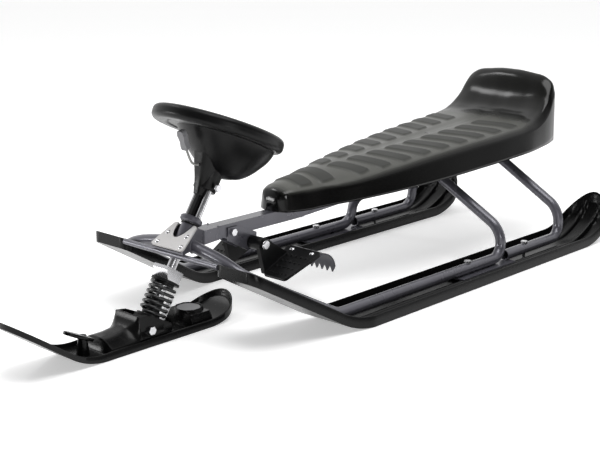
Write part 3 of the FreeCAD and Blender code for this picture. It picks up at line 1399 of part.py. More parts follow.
axle = cylinder("brake_axle", "sizes.axle_diameter / 2", "sizes.axle_length",
                across_place(size.axle_station, size.axle_height, -size.axle_length * 0.5))
register(axle, "brake_axle")
clip = turned("axle_clip", [(0, 0), (size.axle_clip_diameter * 0.5, 0),
                            (size.axle_clip_diameter * 0.5, size.axle_clip_height * 0.6),
                            (size.axle_clip_diameter * 0.4, size.axle_clip_height), (0, size.axle_clip_height)],
              Placement())
document.recompute()
clip_shape = clip.Shape.copy()
clip_left = clip_shape.copy()
clip_left.Placement = across_place(size.axle_station, size.axle_height, size.axle_length * 0.5)
feature("axle_clips", Part.makeCompound([clip_left, mirrored(clip_left)]))

pedal_front = Vector(size.pedal_front_station, 0, size.pedal_front_height)
pedal_rear = Vector(size.pedal_rear_station, 0, size.pedal_rear_height)
pedal_way = (pedal_rear - pedal_front).normalize()
pedal_up = Vector(pedal_way.z, 0, -pedal_way.x)
pedal_length = (pedal_rear - pedal_front).Length


def pedal_spot(along_share, across_share, rise):
    """A point of the left pedal's tread by its shares of the length and of the width there."""
    inner = size.pedal_front_inner + (size.pedal_rear_inner - size.pedal_front_inner) * along_share
    outer = size.pedal_front_outer + (size.pedal_rear_outer - size.pedal_front_outer) * along_share
    base = pedal_front + pedal_way * pedal_length * along_share + pedal_up * rise
    return base + Vector(0, inner + (outer - inner) * across_share, 0)


def left_pedal_shape():
    """The left pedal: a tapered tread plate with studs, a web and a hub on the axle."""
    corners = [pedal_spot(0, 0, 0), pedal_spot(0, 1, 0), pedal_spot(1, 1, 0), pedal_spot(1, 0, 0)]
    plate = polygon_prism(corners, pedal_up * -size.pedal_thickness)
    round_edges = [edge for edge in plate.Edges
                   if abs(edge.Length - size.pedal_thickness) < size.running_clearance]
    plate = plate.makeFillet(size.pedal_corner, round_edges)
    hub_radius = size.pedal_hub_diameter * 0.5
    hub = Part.makeCylinder(hub_radius, size.pedal_hub_outer - size.pedal_hub_inner,
                            Vector(size.axle_station, size.pedal_hub_inner, size.axle_height), Vector(0, 1, 0))
    drop = pedal_up * -size.pedal_thickness * 0.5
    low_front = pedal_front + pedal_way * pedal_length * 0.06 + drop
    low_rear = pedal_front + pedal_way * pedal_length * 0.8 + drop
    arm = sideways([(size.axle_station + hub_radius, size.axle_height), (low_front.x, low_front.z),
                    (low_rear.x, low_rear.z), (size.axle_station - hub_radius * 0.5, size.axle_height + hub_radius * 0.8)],
                   size.pedal_arm_inner, size.pedal_arm_inner + size.pedal_arm_thickness)
    gusset = polygon_prism([pedal_spot(0.06, 0.3, -size.pedal_thickness * 0.5),
                            Vector(low_front.x, size.pedal_arm_inner, low_front.z),
                            Vector(low_rear.x, size.pedal_arm_inner, low_rear.z),
                            pedal_spot(0.8, 0.3, -size.pedal_thickness * 0.5)], pedal_up * -size.pedal_thickness * 0.5)
    bore = Part.makeCylinder(size.axle_diameter * 0.5, size.axle_length,
                             Vector(size.axle_station, 0, size.axle_height), Vector(0, 1, 0))
    studs = []
    for along in range(4):
        for across in range(5):
            spot = pedal_spot(0.14 + along * 0.19, 0.22 + across * 0.15, -size.tread_height)
            studs.append(Part.makeCone(size.tread_diameter * 0.5, size.tread_diameter * 0.36,
                                       size.tread_height * 2, spot, pedal_up))
    whole = plate.fuse([hub, arm, gusset] + studs).removeSplitter()
    return whole.cut(bore)


left_pedal = left_pedal_shape()
rivet_drills = []
rivets = []
for across_share in (0.2, 0.8):
    spot = pedal_spot(0.9, across_share, 0)
    rivets.append(domed_screw(spot, pedal_up, size.pedal_thickness + size.claw_thickness, size.rivet_diameter,
                              size.rivet_head_diameter, size.rivet_head_height))
    rivet_drills.append(Part.makeCylinder(size.rivet_diameter * 0.5, pedal_length,
                                          spot - pedal_up * pedal_length * 0.5, pedal_up))
left_pedal = left_pedal.cut(rivet_drills)
feature("left_brake_pedal", left_pedal)
feature("right_brake_pedal", mirrored(left_pedal))


def left_claw_shape():
    """The left claw: a steel strip from under the tread, curved down behind it and cut into teeth."""
    under = pedal_up * -size.pedal_thickness
    thick = pedal_up * -size.claw_thickness
    tab_start = pedal_rear + pedal_way * -size.claw_tab + under
    tab_end = pedal_rear + under + pedal_way * size.claw_thickness
    drop_end = Vector(size.claw_drop_station, 0, size.claw_drop_height)
    chord = drop_end - tab_end
    turn = Vector(-1, 0, 0).getAngle(chord)
    radius = chord.Length / (2 * math.sin(turn))
    centre = tab_end + Vector(0, 0, -radius)
    angles = [math.radians(90) + turn * share for share in (0, 1, 2)]

    def on_arc(arm, angle):
        return centre + Vector(arm * math.cos(angle), 0, arm * math.sin(angle))

    inner_radius = radius - size.claw_thickness
    outer = [on_arc(radius, angle) for angle in angles]
    inner = [on_arc(inner_radius, angle) for angle in angles]
    edges = [Part.makeLine(tab_start, tab_end), Part.Arc(outer[0], outer[1], outer[2]).toShape(),
             Part.makeLine(outer[2], inner[2]), Part.Arc(inner[2], inner[1], inner[0]).toShape(),
             Part.makeLine(inner[0], tab_start + thick), Part.makeLine(tab_start + thick, tab_start)]
    low = size.pedal_rear_inner + size.claw_margin
    high = size.pedal_rear_outer - size.claw_margin
    face = Part.Face(Part.Wire(edges))
    face.translate(Vector(0, low, 0))
    claw = face.extrude(Vector(0, high - low, 0))
    count = int(size.claw_tooth_count)
    pitch = (high - low) / count
    end_way = (outer[2] - on_arc(radius, angles[2] - math.radians(2))).normalize()
    through = (outer[2] - centre).normalize()
    past = end_way * size.claw_tooth_depth * 0.3
    for step in range(count + 1):
        middle = low + step * pitch
        root = outer[2] - end_way * size.claw_tooth_depth + Vector(0, middle, 0) - through * size.tube_diameter
        mouth = outer[2] + past + Vector(0, middle, 0) - through * size.tube_diameter
        notch = polygon_prism([root, mouth - Vector(0, pitch * 0.62, 0), mouth + Vector(0, pitch * 0.62, 0)],
                              through * size.tube_diameter * 2)
        claw = claw.cut(notch)
    return claw.cut(rivet_drills)


left_claw = left_claw_shape()
feature("left_brake_claw", left_claw)
feature("right_brake_claw", mirrored(left_claw))
feature("claw_rivets", Part.makeCompound(rivets + [mirrored(rivet) for rivet in rivets]))


def return_spring_shape():
    """A torsion coil round the axle with one leg up to the beam and a short leg down."""
    turns = size.return_spring_turns
    radius = size.return_spring_radius
    pitch = size.return_spring_pitch
    start_side = -turns * pitch * 0.5
    steps = int(turns * 4)

    def spot(turn):
        return Vector(size.axle_station + radius * math.cos(turn), start_side + pitch * turn / (2 * math.pi),
                      size.axle_height + radius * math.sin(turn))

    def way(turn):
        tiny = 1e-4
        return (spot(turn + tiny) - spot(turn - tiny)).normalize()

    edges = [Part.makeLine(spot(0) - way(0) * size.return_spring_leg, spot(0))]
    for step in range(steps):
        start = 2 * math.pi * turns * step / steps
        end = 2 * math.pi * turns * (step + 1) / steps
        edges.extend(biarc(spot(start), way(start), spot(end), way(end)))
    last = 2 * math.pi * turns
    leg = size.beam_axis_height - size.beam_height * 0.5 - size.weld_gap - size.axle_height
    edges.append(Part.makeLine(spot(last), spot(last) + way(last) * leg))
    print("return spring gap", round(pitch - size.return_spring_wire, 2))
    return round_along(Part.Wire(edges), size.return_spring_wire * 0.5)


feature("brake_return_spring", return_spring_shape())

# Seat: a hollow moulding lofted through cross-sections given as shares of its length, width and rise.

SEAT_SHARES = (
    # along, bottom half width, edge half width, lift of the bottom, height of the edge, height of the middle
    (0.000, 0.060, 0.050, 0.080, 0.140, 0.160),
    (0.009, 0.150, 0.130, 0.035, 0.180, 0.205),
    (0.029, 0.260, 0.225, 0.000, 0.200, 0.245),
    (0.062, 0.345, 0.300, 0.000, 0.205, 0.270),
    (0.115, 0.430, 0.385, 0.000, 0.200, 0.290),
    (0.168, 0.540, 0.500, 0.000, 0.200, 0.305),
    (0.248, 0.665, 0.610, 0.000, 0.215, 0.320),
    (0.340, 0.780, 0.700, 0.000, 0.240, 0.325),
    (0.473, 0.892, 0.800, 0.000, 0.270, 0.325),
    (0.605, 0.955, 0.870, 0.000, 0.285, 0.330),
    (0.751, 1.000, 0.930, 0.000, 0.290, 0.335),
    (0.840, 1.000, 0.940, 0.000, 0.320, 0.340),
    (0.890, 0.985, 0.930, 0.000, 0.410, 0.355),
    (0.922, 0.965, 0.915, 0.000, 0.525, 0.425),
    (0.948, 0.935, 0.885, 0.000, 0.595, 0.580),
    (0.966, 0.900, 0.850, 0.000, 0.615, 0.755),
    (0.982, 0.860, 0.805, 0.000, 0.610, 0.795),
    (1.000, 0.780, 0.730, 0.000, 0.550, 0.735),
)


def seat_section(shares, inset, lift, drop):
    """One closed cross-section of the seat, drawn in by inset and moved up by lift."""
    along, bottom_share, edge_share, bottom_lift, edge_rise, middle_rise = shares
    station = size.seat_front_station - size.seat_length * along
    base = beam_top(station) + size.weld_gap
    bottom = base + bottom_lift * size.seat_back_rise - drop
    low_half = bottom_share * size.seat_half_width - inset
    edge_half = edge_share * size.seat_half_width - inset
    edge = base + edge_rise * size.seat_back_rise - inset + lift
    middle = base + middle_rise * size.seat_back_rise - inset + lift
    round_drop = min(size.seat_edge_round, (edge - bottom) * 0.4)
    crest = [(1.0, edge - round_drop), (0.93, edge - round_drop * 0.25), (0.8, edge + (middle - edge) * 0.22),
             (0.45, edge + (middle - edge) * 0.75), (0, middle)]
    left = [Vector(station, edge_half * share, height) for share, height in crest]
    right = [Vector(station, -point.y, point.z) for point in left[-2::-1]]
    top = Part.BSplineCurve()
    top.interpolate(left + right)
    low_left = Vector(station, low_half, bottom)
    low_right = Vector(station, -low_half, bottom)
    return Part.Wire([Part.makeLine(low_right, low_left), Part.makeLine(low_left, left[0]), top.toShape(),
                      Part.makeLine(right[-1], low_right)])


def seat_loft(rows, inset, lift, drop):
    """The loft through a run of the seat's cross-sections."""
    return Part.makeLoft([seat_section(row, inset, lift, drop) for row in rows], True, False)


def seat_edge_half(station):
    """Half width of the seat's upper edge at a station."""
    along = (size.seat_front_station - station) / size.seat_length
    for before, after in zip(SEAT_SHARES, SEAT_SHARES[1:]):
        if before[0] <= along <= after[0]:
            share = (along - before[0]) / (after[0] - before[0])
            return (before[2] + (after[2] - before[2]) * share) * size.seat_half_width
    return size.seat_half_width


def seat_pads():
    """Plan outlines of the raised tread pads: eight swept pairs and two full-width pads at the front."""
    outlines = []
    half = size.seat_pad_width * 0.5
    for step in range(8):
        station = size.seat_pad_front_station - step * size.seat_pad_pitch
        outer = seat_edge_half(station) * 0.8
        back = size.seat_pad_sweep
        pad = [(station + half, size.seat_pad_inner), (station - half, size.seat_pad_inner),
               (station - half - back, outer), (station + half - back, outer)]
        outlines.append(pad)
        outlines.append([(along, -across) for along, across in pad])
    for step in range(2):
        station = size.seat_front_pad_station + step * size.seat_front_pad_pitch
        front_half = size.seat_front_pad_width * 0.5
        outer = seat_edge_half(station) * 0.72
        outlines.append([(station - front_half, -outer), (station + front_half, -outer * 0.86),
                         (station + front_half, outer * 0.86), (station - front_half, outer)])
    return outlines


def seat_shape():
    """The seat with its raised pads, hollow underneath and stiffened by webs that rest on the beam."""
    shell = seat_loft(SEAT_SHARES, 0, 0, 0)
    raised = seat_loft(SEAT_SHARES, 0, size.seat_pad_height, 0)
    high = size.axis_height + size.seat_back_rise * 2
    pads = [raised.common(upright(outline, size.axis_height, high)) for outline in seat_pads()]
    hollow = seat_loft(SEAT_SHARES[2:-1], size.seat_wall, 0, size.overrun)
    webs = []
    for station in (0.12, 0.36, 0.6, 0.87):
        along = size.seat_front_station - size.seat_length * station
        web = Part.makeBox(size.seat_web, size.seat_half_width * 2, high,
                           Vector(along - size.seat_web * 0.5, -size.seat_half_width, 0))
        webs.append(web.common(shell))
    for station in seat_bolt_stations():
        boss = Part.makeCylinder(size.seat_boss_diameter * 0.5, size.seat_boss_height,
                                 Vector(station, 0, beam_top(station)))
        webs.append(boss.common(shell))
    whole = shell.fuse(pads)
    whole = whole.cut(hollow)
    whole = whole.fuse(webs)
    for station in seat_bolt_stations():
        whole = whole.cut(Part.makeCylinder(size.bolt_diameter * 0.5, size.seat_bolt_grip + size.beam_wall,
                                            Vector(station, 0, beam_top(station) - size.beam_wall)))
    return whole


feature("seat", seat_shape())
seat_bolts = []
for station in seat_bolt_stations():
    low = beam_top(station) - size.beam_height - size.weld_gap
    seat_bolts.append(bolt_shape(Vector(station, 0, low), Vector(0, 0, -1), size.beam_height + size.seat_bolt_grip,
                                 size.bolt_diameter, size.bolt_head_diameter, size.bolt_head_height))
feature("seat_bolts", Part.makeCompound(seat_bolts))

document.recompute()
for item in document.Objects:
    if "Invalid" in item.State or "Error" in item.State:
        raise RuntimeError(f"{item.Label} did not build: {item.State}")
os.makedirs("parts", exist_ok=True)
for item in nodes:
    shape = item.Shape
    if shape.isNull() or not shape.isValid() or not shape.Solids:
        raise RuntimeError(f"{item.Label} has no sound solid")
    shape.exportStep(f"parts/{item.Label}.step")
    box = shape.BoundBox
    print(item.Label, len(shape.Solids), round(shape.Volume / 1000, 1),
          [round(value) for value in (box.XMin, box.XMax, box.YMin, box.YMax, box.ZMin, box.ZMax)])
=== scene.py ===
"""Looks of the steering sled round its CAD frame: finishes, moulded pieces, tow cord, welds and studio."""
import json
import logging
import math
from dataclasses import dataclass
from enum import Enum
from typing import Iterable, Sequence

import bmesh
import bpy
import numpy
from mathutils import Matrix, Vector


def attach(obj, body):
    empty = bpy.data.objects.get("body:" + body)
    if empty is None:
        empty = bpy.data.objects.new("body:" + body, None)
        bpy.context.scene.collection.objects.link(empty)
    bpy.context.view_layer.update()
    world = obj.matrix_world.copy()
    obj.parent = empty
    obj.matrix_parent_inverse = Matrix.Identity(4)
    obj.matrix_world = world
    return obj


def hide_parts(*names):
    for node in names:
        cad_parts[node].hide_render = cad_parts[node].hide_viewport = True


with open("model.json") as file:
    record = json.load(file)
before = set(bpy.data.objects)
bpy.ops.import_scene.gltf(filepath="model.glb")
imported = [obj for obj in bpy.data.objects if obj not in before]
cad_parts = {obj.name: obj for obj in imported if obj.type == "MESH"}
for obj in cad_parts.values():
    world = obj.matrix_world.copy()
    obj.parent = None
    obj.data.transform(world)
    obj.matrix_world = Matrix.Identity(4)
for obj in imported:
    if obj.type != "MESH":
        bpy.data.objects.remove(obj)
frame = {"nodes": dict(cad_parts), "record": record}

LOG = logging.getLogger("steering_sled")
MM = 0.001
SHARP_ANGLE = 50.0
TAIL_ANGLE = 89.0
MERGE = 0.02
PLASTIC_IOR = 1.5
MIX_SHARE, MIX_FIRST, MIX_SECOND, MIX_RESULT = 0, 6, 7, 2
Colour = tuple[float, float, float]
Point = tuple[float, float, float]
Span = tuple[float, float]
Socket = bpy.types.NodeSocket


class Body(Enum):
    """The bodies that the new pieces ride."""

    FRAME = "frame"
    STEERING = "steering"
    SKI = "ski"


class Slot(Enum):
    """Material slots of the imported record."""

    FRAME_PAINT = "frame_paint"
    NOSE_SILVER = "nose_silver"
    ZINC = "zinc"
    CLAW_STEEL = "claw_steel"
    SPRING_BLACK = "spring_black"
    SKI_BLACK = "ski_black"
    SEAT_BLACK = "seat_black"
    WHEEL_BLACK = "wheel_black"
    PEDAL_BLACK = "pedal_black"
    HANDLE_GREY = "handle_grey"
    CORD_GREY = "cord_grey"


class Nodes:
    """A node tree with short calls to add and join its nodes."""

    def __init__(self, tree: bpy.types.NodeTree) -> None:
        """Takes the tree to work on."""
        self.tree = tree

    def add(self, kind: str, **values: object) -> bpy.types.Node:
        """Adds a node and sets its properties.

        Args:
            kind: Blender's name of the node type.
            **values: Properties of the node.

        Returns:
            The new node.
        """
        node = self.tree.nodes.new(kind)
        for key, value in values.items():
            setattr(node, key, value)
        return node

    def join(self, source: Socket, target: Socket) -> None:
        """Links one socket to another."""
        self.tree.links.new(source, target)

    def span(self, value: Socket, low: float, high: float, start: float = 0.3, end: float = 0.7,
             kind: str = "LINEAR") -> Socket:
        """Maps a value to a range.

        Args:
            value: Socket to map.
            low: Result at the start.
            high: Result at the end.
            start: Value that gives low.
            end: Value that gives high.
            kind: How the result runs between them.

        Returns:
            The mapped socket.
        """
        node = self.add("ShaderNodeMapRange", interpolation_type=kind)
        for name, number in (("From Min", start), ("From Max", end), ("To Min", low), ("To Max", high)):
            node.inputs[name].default_value = number
        self.join(value, node.inputs["Value"])
        return node.outputs["Result"]


class Shader(Nodes):
    """A material with short calls for the nodes of its finish."""

    def __init__(self, name: str) -> None:
        """Starts a material with only its surface shader.

        Args:
            name: Name of the material.
        """
        self.material = bpy.data.materials.new(name)
        self.material.use_nodes = True
        super().__init__(self.material.node_tree)
        self.tree.nodes.clear()
        self.surface = self.add("ShaderNodeBsdfPrincipled")
        output = self.add("ShaderNodeOutputMaterial")
        self.join(self.surface.outputs["BSDF"], output.inputs["Surface"])

    def set(self, **values: object) -> None:
        """Sets inputs of the surface shader, with underscores for spaces."""
        for key, value in values.items():
            self.surface.inputs[key.replace("_", " ")].default_value = value

    def feed(self, **sources: Socket) -> None:
        """Links sockets to inputs of the surface shader, with underscores for spaces."""
        for key, source in sources.items():
            self.join(source, self.surface.inputs[key.replace("_", " ")])

    def coordinates(self, scale: Point = (1.0, 1.0, 1.0), turn: float = 0.0, kind: str = "Object") -> Socket:
        """Coordinates of the piece, stretched and turned.

        Args:
            scale: Stretch along each axis.
            turn: Turn about the third axis, in radians.
            kind: Coordinates to read.

        Returns:
            The vector socket.
        """
        source = self.add("ShaderNodeTexCoord")
        mapping = self.add("ShaderNodeMapping")
        mapping.inputs["Scale"].default_value = scale
        mapping.inputs["Rotation"].default_value = (0.0, 0.0, turn)
        self.join(source.outputs[kind], mapping.inputs["Vector"])
        return mapping.outputs["Vector"]

    def noise(self, place: Socket, scale: float, detail: float) -> Socket:
        """A noise value between 0 and 1.

        Args:
            place: Vector socket to read.
            scale: Repeats per metre.
            detail: Octaves of the noise.

        Returns:
            The value socket.
        """
        node = self.add("ShaderNodeTexNoise")
        node.inputs["Scale"].default_value = scale
        node.inputs["Detail"].default_value = detail
        self.join(place, node.inputs["Vector"])
        return node.outputs["Fac"]

    def cells(self, place: Socket, scale: float) -> Socket:
        """Distance to the nearest cell of a fine pebble grain.

        Args:
            place: Vector socket to read.
            scale: Cells per metre.

        Returns:
            The distance socket.
        """
        node = self.add("ShaderNodeTexVoronoi")
        node.inputs["Scale"].default_value = scale
        self.join(place, node.inputs["Vector"])
        return node.outputs["Distance"]

    def combine(self, first: Socket, second: Socket, kind: str = "ADD") -> Socket:
        """Joins two values by a sum or another operation.

        Args:
            first: First value.
            second: Second value.
            kind: Operation of the Math node.

        Returns:
            The result socket.
        """
        node = self.add("ShaderNodeMath", operation=kind)
        self.join(first, node.inputs[0])
        self.join(second, node.inputs[1])
        return node.outputs["Value"]

    def mix(self, share: Socket, first: Socket | Colour, second: Colour) -> Socket:
        """A colour between two.

        Args:
            share: Share of the second colour.
            first: First colour, or its socket.
            second: Second colour.

        Returns:
            The colour socket.
        """
        node = self.add("ShaderNodeMix", data_type="RGBA")
        self.join(share, node.inputs[MIX_SHARE])
        if isinstance(first, tuple):
            node.inputs[MIX_FIRST].default_value = (*first, 1.0)
        else:
            self.join(first, node.inputs[MIX_FIRST])
        node.inputs[MIX_SECOND].default_value = (*second, 1.0)
        return node.outputs[MIX_RESULT]

    def shades(self, share: Socket, colour: Colour, tones: Span) -> Socket:
        """A colour between its darker and its lighter tone."""
        return self.mix(share, lighter(colour, tones[0]), lighter(colour, tones[1]))

    def about(self, value: Socket, middle: float, shares: Span, start: float = 0.3,
              end: float = 0.7) -> Socket:
        """Maps a value to two shares of a middle number."""
        return self.span(value, middle * shares[0], middle * shares[1], start, end)

    def bump(self, height: Socket, strength: float, depth: float, edge: float = 0.0) -> None:
        """Raises the surface by a height and softens its sharp edges.

        Args:
            height: Height socket, from 0 to 1.
            strength: Strength of the bump.
            depth: Real height of a full step, in metres.
            edge: Radius of the softened edges, in metres.
        """
        node = self.add("ShaderNodeBump")
        if edge > 0.0:
            soft = self.add("ShaderNodeBevel", samples=4)
            soft.inputs["Radius"].default_value = edge
            self.join(soft.outputs["Normal"], node.inputs["Normal"])
        node.inputs["Strength"].default_value = strength
        node.inputs["Distance"].default_value = depth
        self.join(height, node.inputs["Height"])
        self.feed(Normal=node.outputs["Normal"])


def lighter(colour: Colour, share: float) -> Colour:
    """A colour scaled by a share."""
    return tuple(min(1.0, channel * share) for channel in colour)


@dataclass(frozen=True)
class MouldedPlastic:
    """Injection-moulded plastic with a fine pebble grain and faint scuffs."""

    name: str
    colour: Colour
    roughness: float
    grain: float
    grain_depth: float
    scuff: float = 0.12
    shine: float = 0.2
    edge: float = 0.9 * MM
    cloud: float = 9.0
    tones: Span = (0.75, 1.35)
    rough_shares: Span = (0.88, 1.12)
    scratch: Point = (22.0, 260.0, 260.0)
    scratch_turn: float = 0.5
    scratch_span: Span = (0.58, 0.8)
    strength: float = 0.35

    def material(self) -> bpy.types.Material:
        """Builds the finish.

        Returns:
            The material.
        """
        shader = Shader(self.name)
        place = shader.coordinates()
        broad = shader.noise(place, self.cloud, 4.0)
        scratched = shader.noise(shader.coordinates(self.scratch, self.scratch_turn), 1.0, 2.0)
        rough = shader.about(broad, self.roughness, self.rough_shares)
        scuff = shader.span(scratched, 0.0, self.scuff, *self.scratch_span)
        pebble = shader.combine(shader.cells(place, self.grain), shader.noise(place, self.grain * 0.5, 2.0))
        shader.feed(Base_Color=shader.shades(broad, self.colour, self.tones),
                    Roughness=shader.combine(rough, scuff))
        shader.bump(pebble, self.strength, self.grain_depth, self.edge)
        shader.set(IOR=PLASTIC_IOR, Specular_IOR_Level=self.shine)
        return shader.material


@dataclass(frozen=True)
class PowderCoat:
    """Satin powder coat on steel with a fine orange peel."""

    name: str
    colour: Colour
    roughness: float = 0.36
    metal: float = 0.35
    edge: float = 0.7 * MM
    cloud: float = 14.0
    fleck: float = 5200.0
    tones: Span = (0.82, 1.3)
    rough_shares: Span = (0.85, 1.2)
    peel: float = 620.0
    peel_depth: float = 0.12 * MM
    strength: float = 0.3
    coat: float = 0.25
    coat_roughness: float = 0.2

    def material(self) -> bpy.types.Material:
        """Builds the finish.

        Returns:
            The material.
        """
        shader = Shader(self.name)
        place = shader.coordinates()
        broad = shader.noise(place, self.cloud, 5.0)
        flecked = shader.combine(broad, shader.noise(place, self.fleck, 1.0), "MULTIPLY")
        shader.feed(Base_Color=shader.shades(flecked, self.colour, self.tones),
                    Roughness=shader.about(broad, self.roughness, self.rough_shares))
        shader.bump(shader.noise(place, self.peel, 2.0), self.strength, self.peel_depth, self.edge)
        shader.set(Metallic=self.metal, IOR=PLASTIC_IOR, Coat_Weight=self.coat,
                   Coat_Roughness=self.coat_roughness)
        return shader.material


@dataclass(frozen=True)
class PlatedSteel:
    """Zinc-plated or bare steel with a cloudy plating and fine drawn lines."""

    name: str
    colour: Colour
    roughness: float = 0.3
    edge: float = 0.5 * MM
    cloud: float = 60.0
    tones: Span = (0.8, 1.15)
    lines: float = 900.0
    lines_stretch: Point = (1.0, 1.0, 0.06)
    rough_shares: Span = (0.9, 1.15)
    rough_span: Span = (0.15, 0.4)
    cloud_depth: float = 0.02 * MM
    strength: float = 0.05

    def material(self) -> bpy.types.Material:
        """Builds the finish.

        Returns:
            The material.
        """
        shader = Shader(self.name)
        cloud = shader.noise(shader.coordinates(), self.cloud, 4.0)
        drawn = shader.noise(shader.coordinates(self.lines_stretch), self.lines, 2.0)
        worn = shader.combine(cloud, drawn, "MULTIPLY")
        shader.feed(Base_Color=shader.shades(cloud, self.colour, self.tones),
                    Roughness=shader.about(worn, self.roughness, self.rough_shares, *self.rough_span))
        shader.bump(cloud, self.strength, self.cloud_depth, self.edge)
        shader.set(Metallic=1.0)
        return shader.material


@dataclass(frozen=True)
class SeatMoulding:
    """Seat plastic: satin top, matte pads and glossy flanks, told apart by the piece's attributes. The top
    and the pads carry a painted sheen: a lighter colour in place of the backdrop's reflection on the black
    plastic.
    """

    name: str
    colour: Colour
    # Painted sheen: the next two colours, on the top and on the pads, stand in for the backdrop's reflection;
    # the black plastic is the first colour.
    top_sheen_colour: Colour
    pad_sheen_colour: Colour
    flank_roughness: float = 0.15
    top_roughness: float = 0.34
    pad_roughness: float = 0.2
    wear: Span = (-0.03, 0.05)
    cloud: float = 12.0
    tones: Span = (0.85, 1.18)
    grain: float = 950.0
    grain_depth: float = 0.16 * MM
    strength: float = 0.4
    shine: float = 0.34

    def material(self) -> bpy.types.Material:
        """Builds the finish.

        Returns:
            The material.
        """
        shader = Shader(self.name)
        place = shader.coordinates()
        top = shader.add("ShaderNodeAttribute", attribute_name="sitting").outputs["Fac"]
        pad = shader.add("ShaderNodeAttribute", attribute_name="pad").outputs["Fac"]
        broad = shader.noise(place, self.cloud, 4.0)
        # Painted sheen: the top and the pads get their lighter colours in place of the backdrop's reflection,
        # and the flanks keep the black.
        painted_sheen = shader.mix(pad, shader.shades(broad, self.top_sheen_colour, self.tones), self.pad_sheen_colour)
        flank = shader.span(top, 1.0, 0.0, 0.0, 1.0)
        rough = shader.combine(shader.span(top, self.flank_roughness, self.top_roughness, 0.0, 1.0),
                               shader.span(pad, 0.0, self.pad_roughness, 0.0, 1.0))
        shader.feed(Base_Color=shader.mix(flank, painted_sheen, self.colour),
                    Roughness=shader.combine(rough, shader.span(broad, *self.wear)))
        pebble = shader.combine(shader.cells(place, self.grain), top, "MULTIPLY")
        shader.bump(pebble, self.strength, self.grain_depth)
        shader.set(IOR=PLASTIC_IOR, Specular_IOR_Level=self.shine)
        return shader.material


@dataclass(frozen=True)
class BraidedCord:
    """A braided cord: two sets of strands crossing along the cord's own map, with a painted shade that
    darkens the hollows between them.
    """

    name: str
    colour: Colour
    stretch: Point = (46.0, 9.0, 1.0)
    lay: float = 38.0
    hollow_shade: float = 0.55
    strand_depth: float = 0.4 * MM
    strength: float = 0.6
    roughness: float = 0.85
    fuzz: float = 0.3

    def material(self) -> bpy.types.Material:
        """Builds the finish.

        Returns:
            The material.
        """
        shader = Shader(self.name)
        strands = []
        for way in (1.0, -1.0):
            wave = shader.add("ShaderNodeTexWave")
            wave.inputs["Scale"].default_value = 1.0
            place = shader.coordinates(self.stretch, way * math.radians(self.lay), "UV")
            shader.join(place, wave.inputs["Vector"])
            strands.append(wave.outputs["Fac"])
        braid = shader.combine(*strands, "MAXIMUM")
        # Painted shade: the colour darkens in the hollows between the strands.
        shader.feed(Base_Color=shader.shades(braid, self.colour, (self.hollow_shade, 1.0)))
        shader.bump(braid, self.strength, self.strand_depth)
        shader.set(Roughness=self.roughness, Sheen_Weight=self.fuzz)
        return shader.material


class Finishes:
    """Every finish of the sled, built once."""

    def __init__(self) -> None:
        """Builds the materials."""
        finishes = {
            Slot.FRAME_PAINT: PowderCoat("frame_paint_grey", (0.13, 0.128, 0.15), 0.27),
            Slot.NOSE_SILVER: PowderCoat("nose_silver_paint", (0.60, 0.585, 0.58), 0.42, metal=0.0),
            Slot.ZINC: PlatedSteel("zinc_plate", (0.74, 0.74, 0.76), 0.24),
            Slot.CLAW_STEEL: PlatedSteel("dark_claw_steel", (0.10, 0.10, 0.11), 0.4),
            Slot.SPRING_BLACK: PowderCoat("spring_black_paint", (0.010, 0.010, 0.011), 0.3, metal=0.0),
            Slot.SKI_BLACK: MouldedPlastic("ski_black_plastic", (0.0035, 0.0035, 0.0037), 0.26, 1500.0,
                                           0.02 * MM, scuff=0.04, edge=0.0),
            # The seat's second and third colours are a painted sheen of the backdrop on the top and on the
            # pads; its first colour is the black plastic.
            Slot.SEAT_BLACK: SeatMoulding("seat_black_plastic", (0.0025, 0.0025, 0.0024),
                                          (0.085, 0.086, 0.077), (0.036, 0.037, 0.033)),
            Slot.WHEEL_BLACK: MouldedPlastic("wheel_black_plastic", (0.004, 0.004, 0.0042), 0.32, 1100.0,
                                             0.14 * MM),
            Slot.PEDAL_BLACK: MouldedPlastic("pedal_black_plastic", (0.008, 0.008, 0.0085), 0.34, 1300.0,
                                             0.12 * MM),
            Slot.HANDLE_GREY: MouldedPlastic("handle_grey_plastic", (0.24, 0.24, 0.25), 0.4, 1500.0,
                                             0.1 * MM),
            Slot.CORD_GREY: BraidedCord("cord_grey_braid", (0.5, 0.5, 0.48)),
        }
        self.by_slot: dict[Slot, bpy.types.Material] = {
            slot: look.material() for slot, look in finishes.items()}

    def dress(self, obj: bpy.types.Object, slot: Slot) -> None:
        """Gives an object the finish of a slot."""
        obj.data.materials.clear()
        obj.data.materials.append(self.by_slot[slot])


def node_slots() -> dict[str, Slot]:
    """The slot of each CAD node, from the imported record."""
    return {row["node"]: Slot(row["material_slot"]) for row in frame["record"]["subparts"]}


def metres(points: Iterable[Sequence[float]]) -> numpy.ndarray:
    """Points in millimetres as an array in metres."""
    return numpy.asarray(points, dtype=float) * MM


def ramp(value: numpy.ndarray, start: float, end: float) -> numpy.ndarray:
    """A smooth step from 0 at the start to 1 at the end."""
    share = numpy.clip((value - start) / (end - start), 0.0, 1.0)
    return share * share * (3.0 - 2.0 * share)


def beyond(value: numpy.ndarray, limit: float, soft: float) -> numpy.ndarray:
    """1 past a limit and 0 before it, with a soft step."""
    return ramp(value, limit - soft, limit + soft)


def within(value: numpy.ndarray, limit: float, soft: float) -> numpy.ndarray:
    """1 before a limit and 0 past it, with a soft step."""
    return 1.0 - beyond(value, limit, soft)


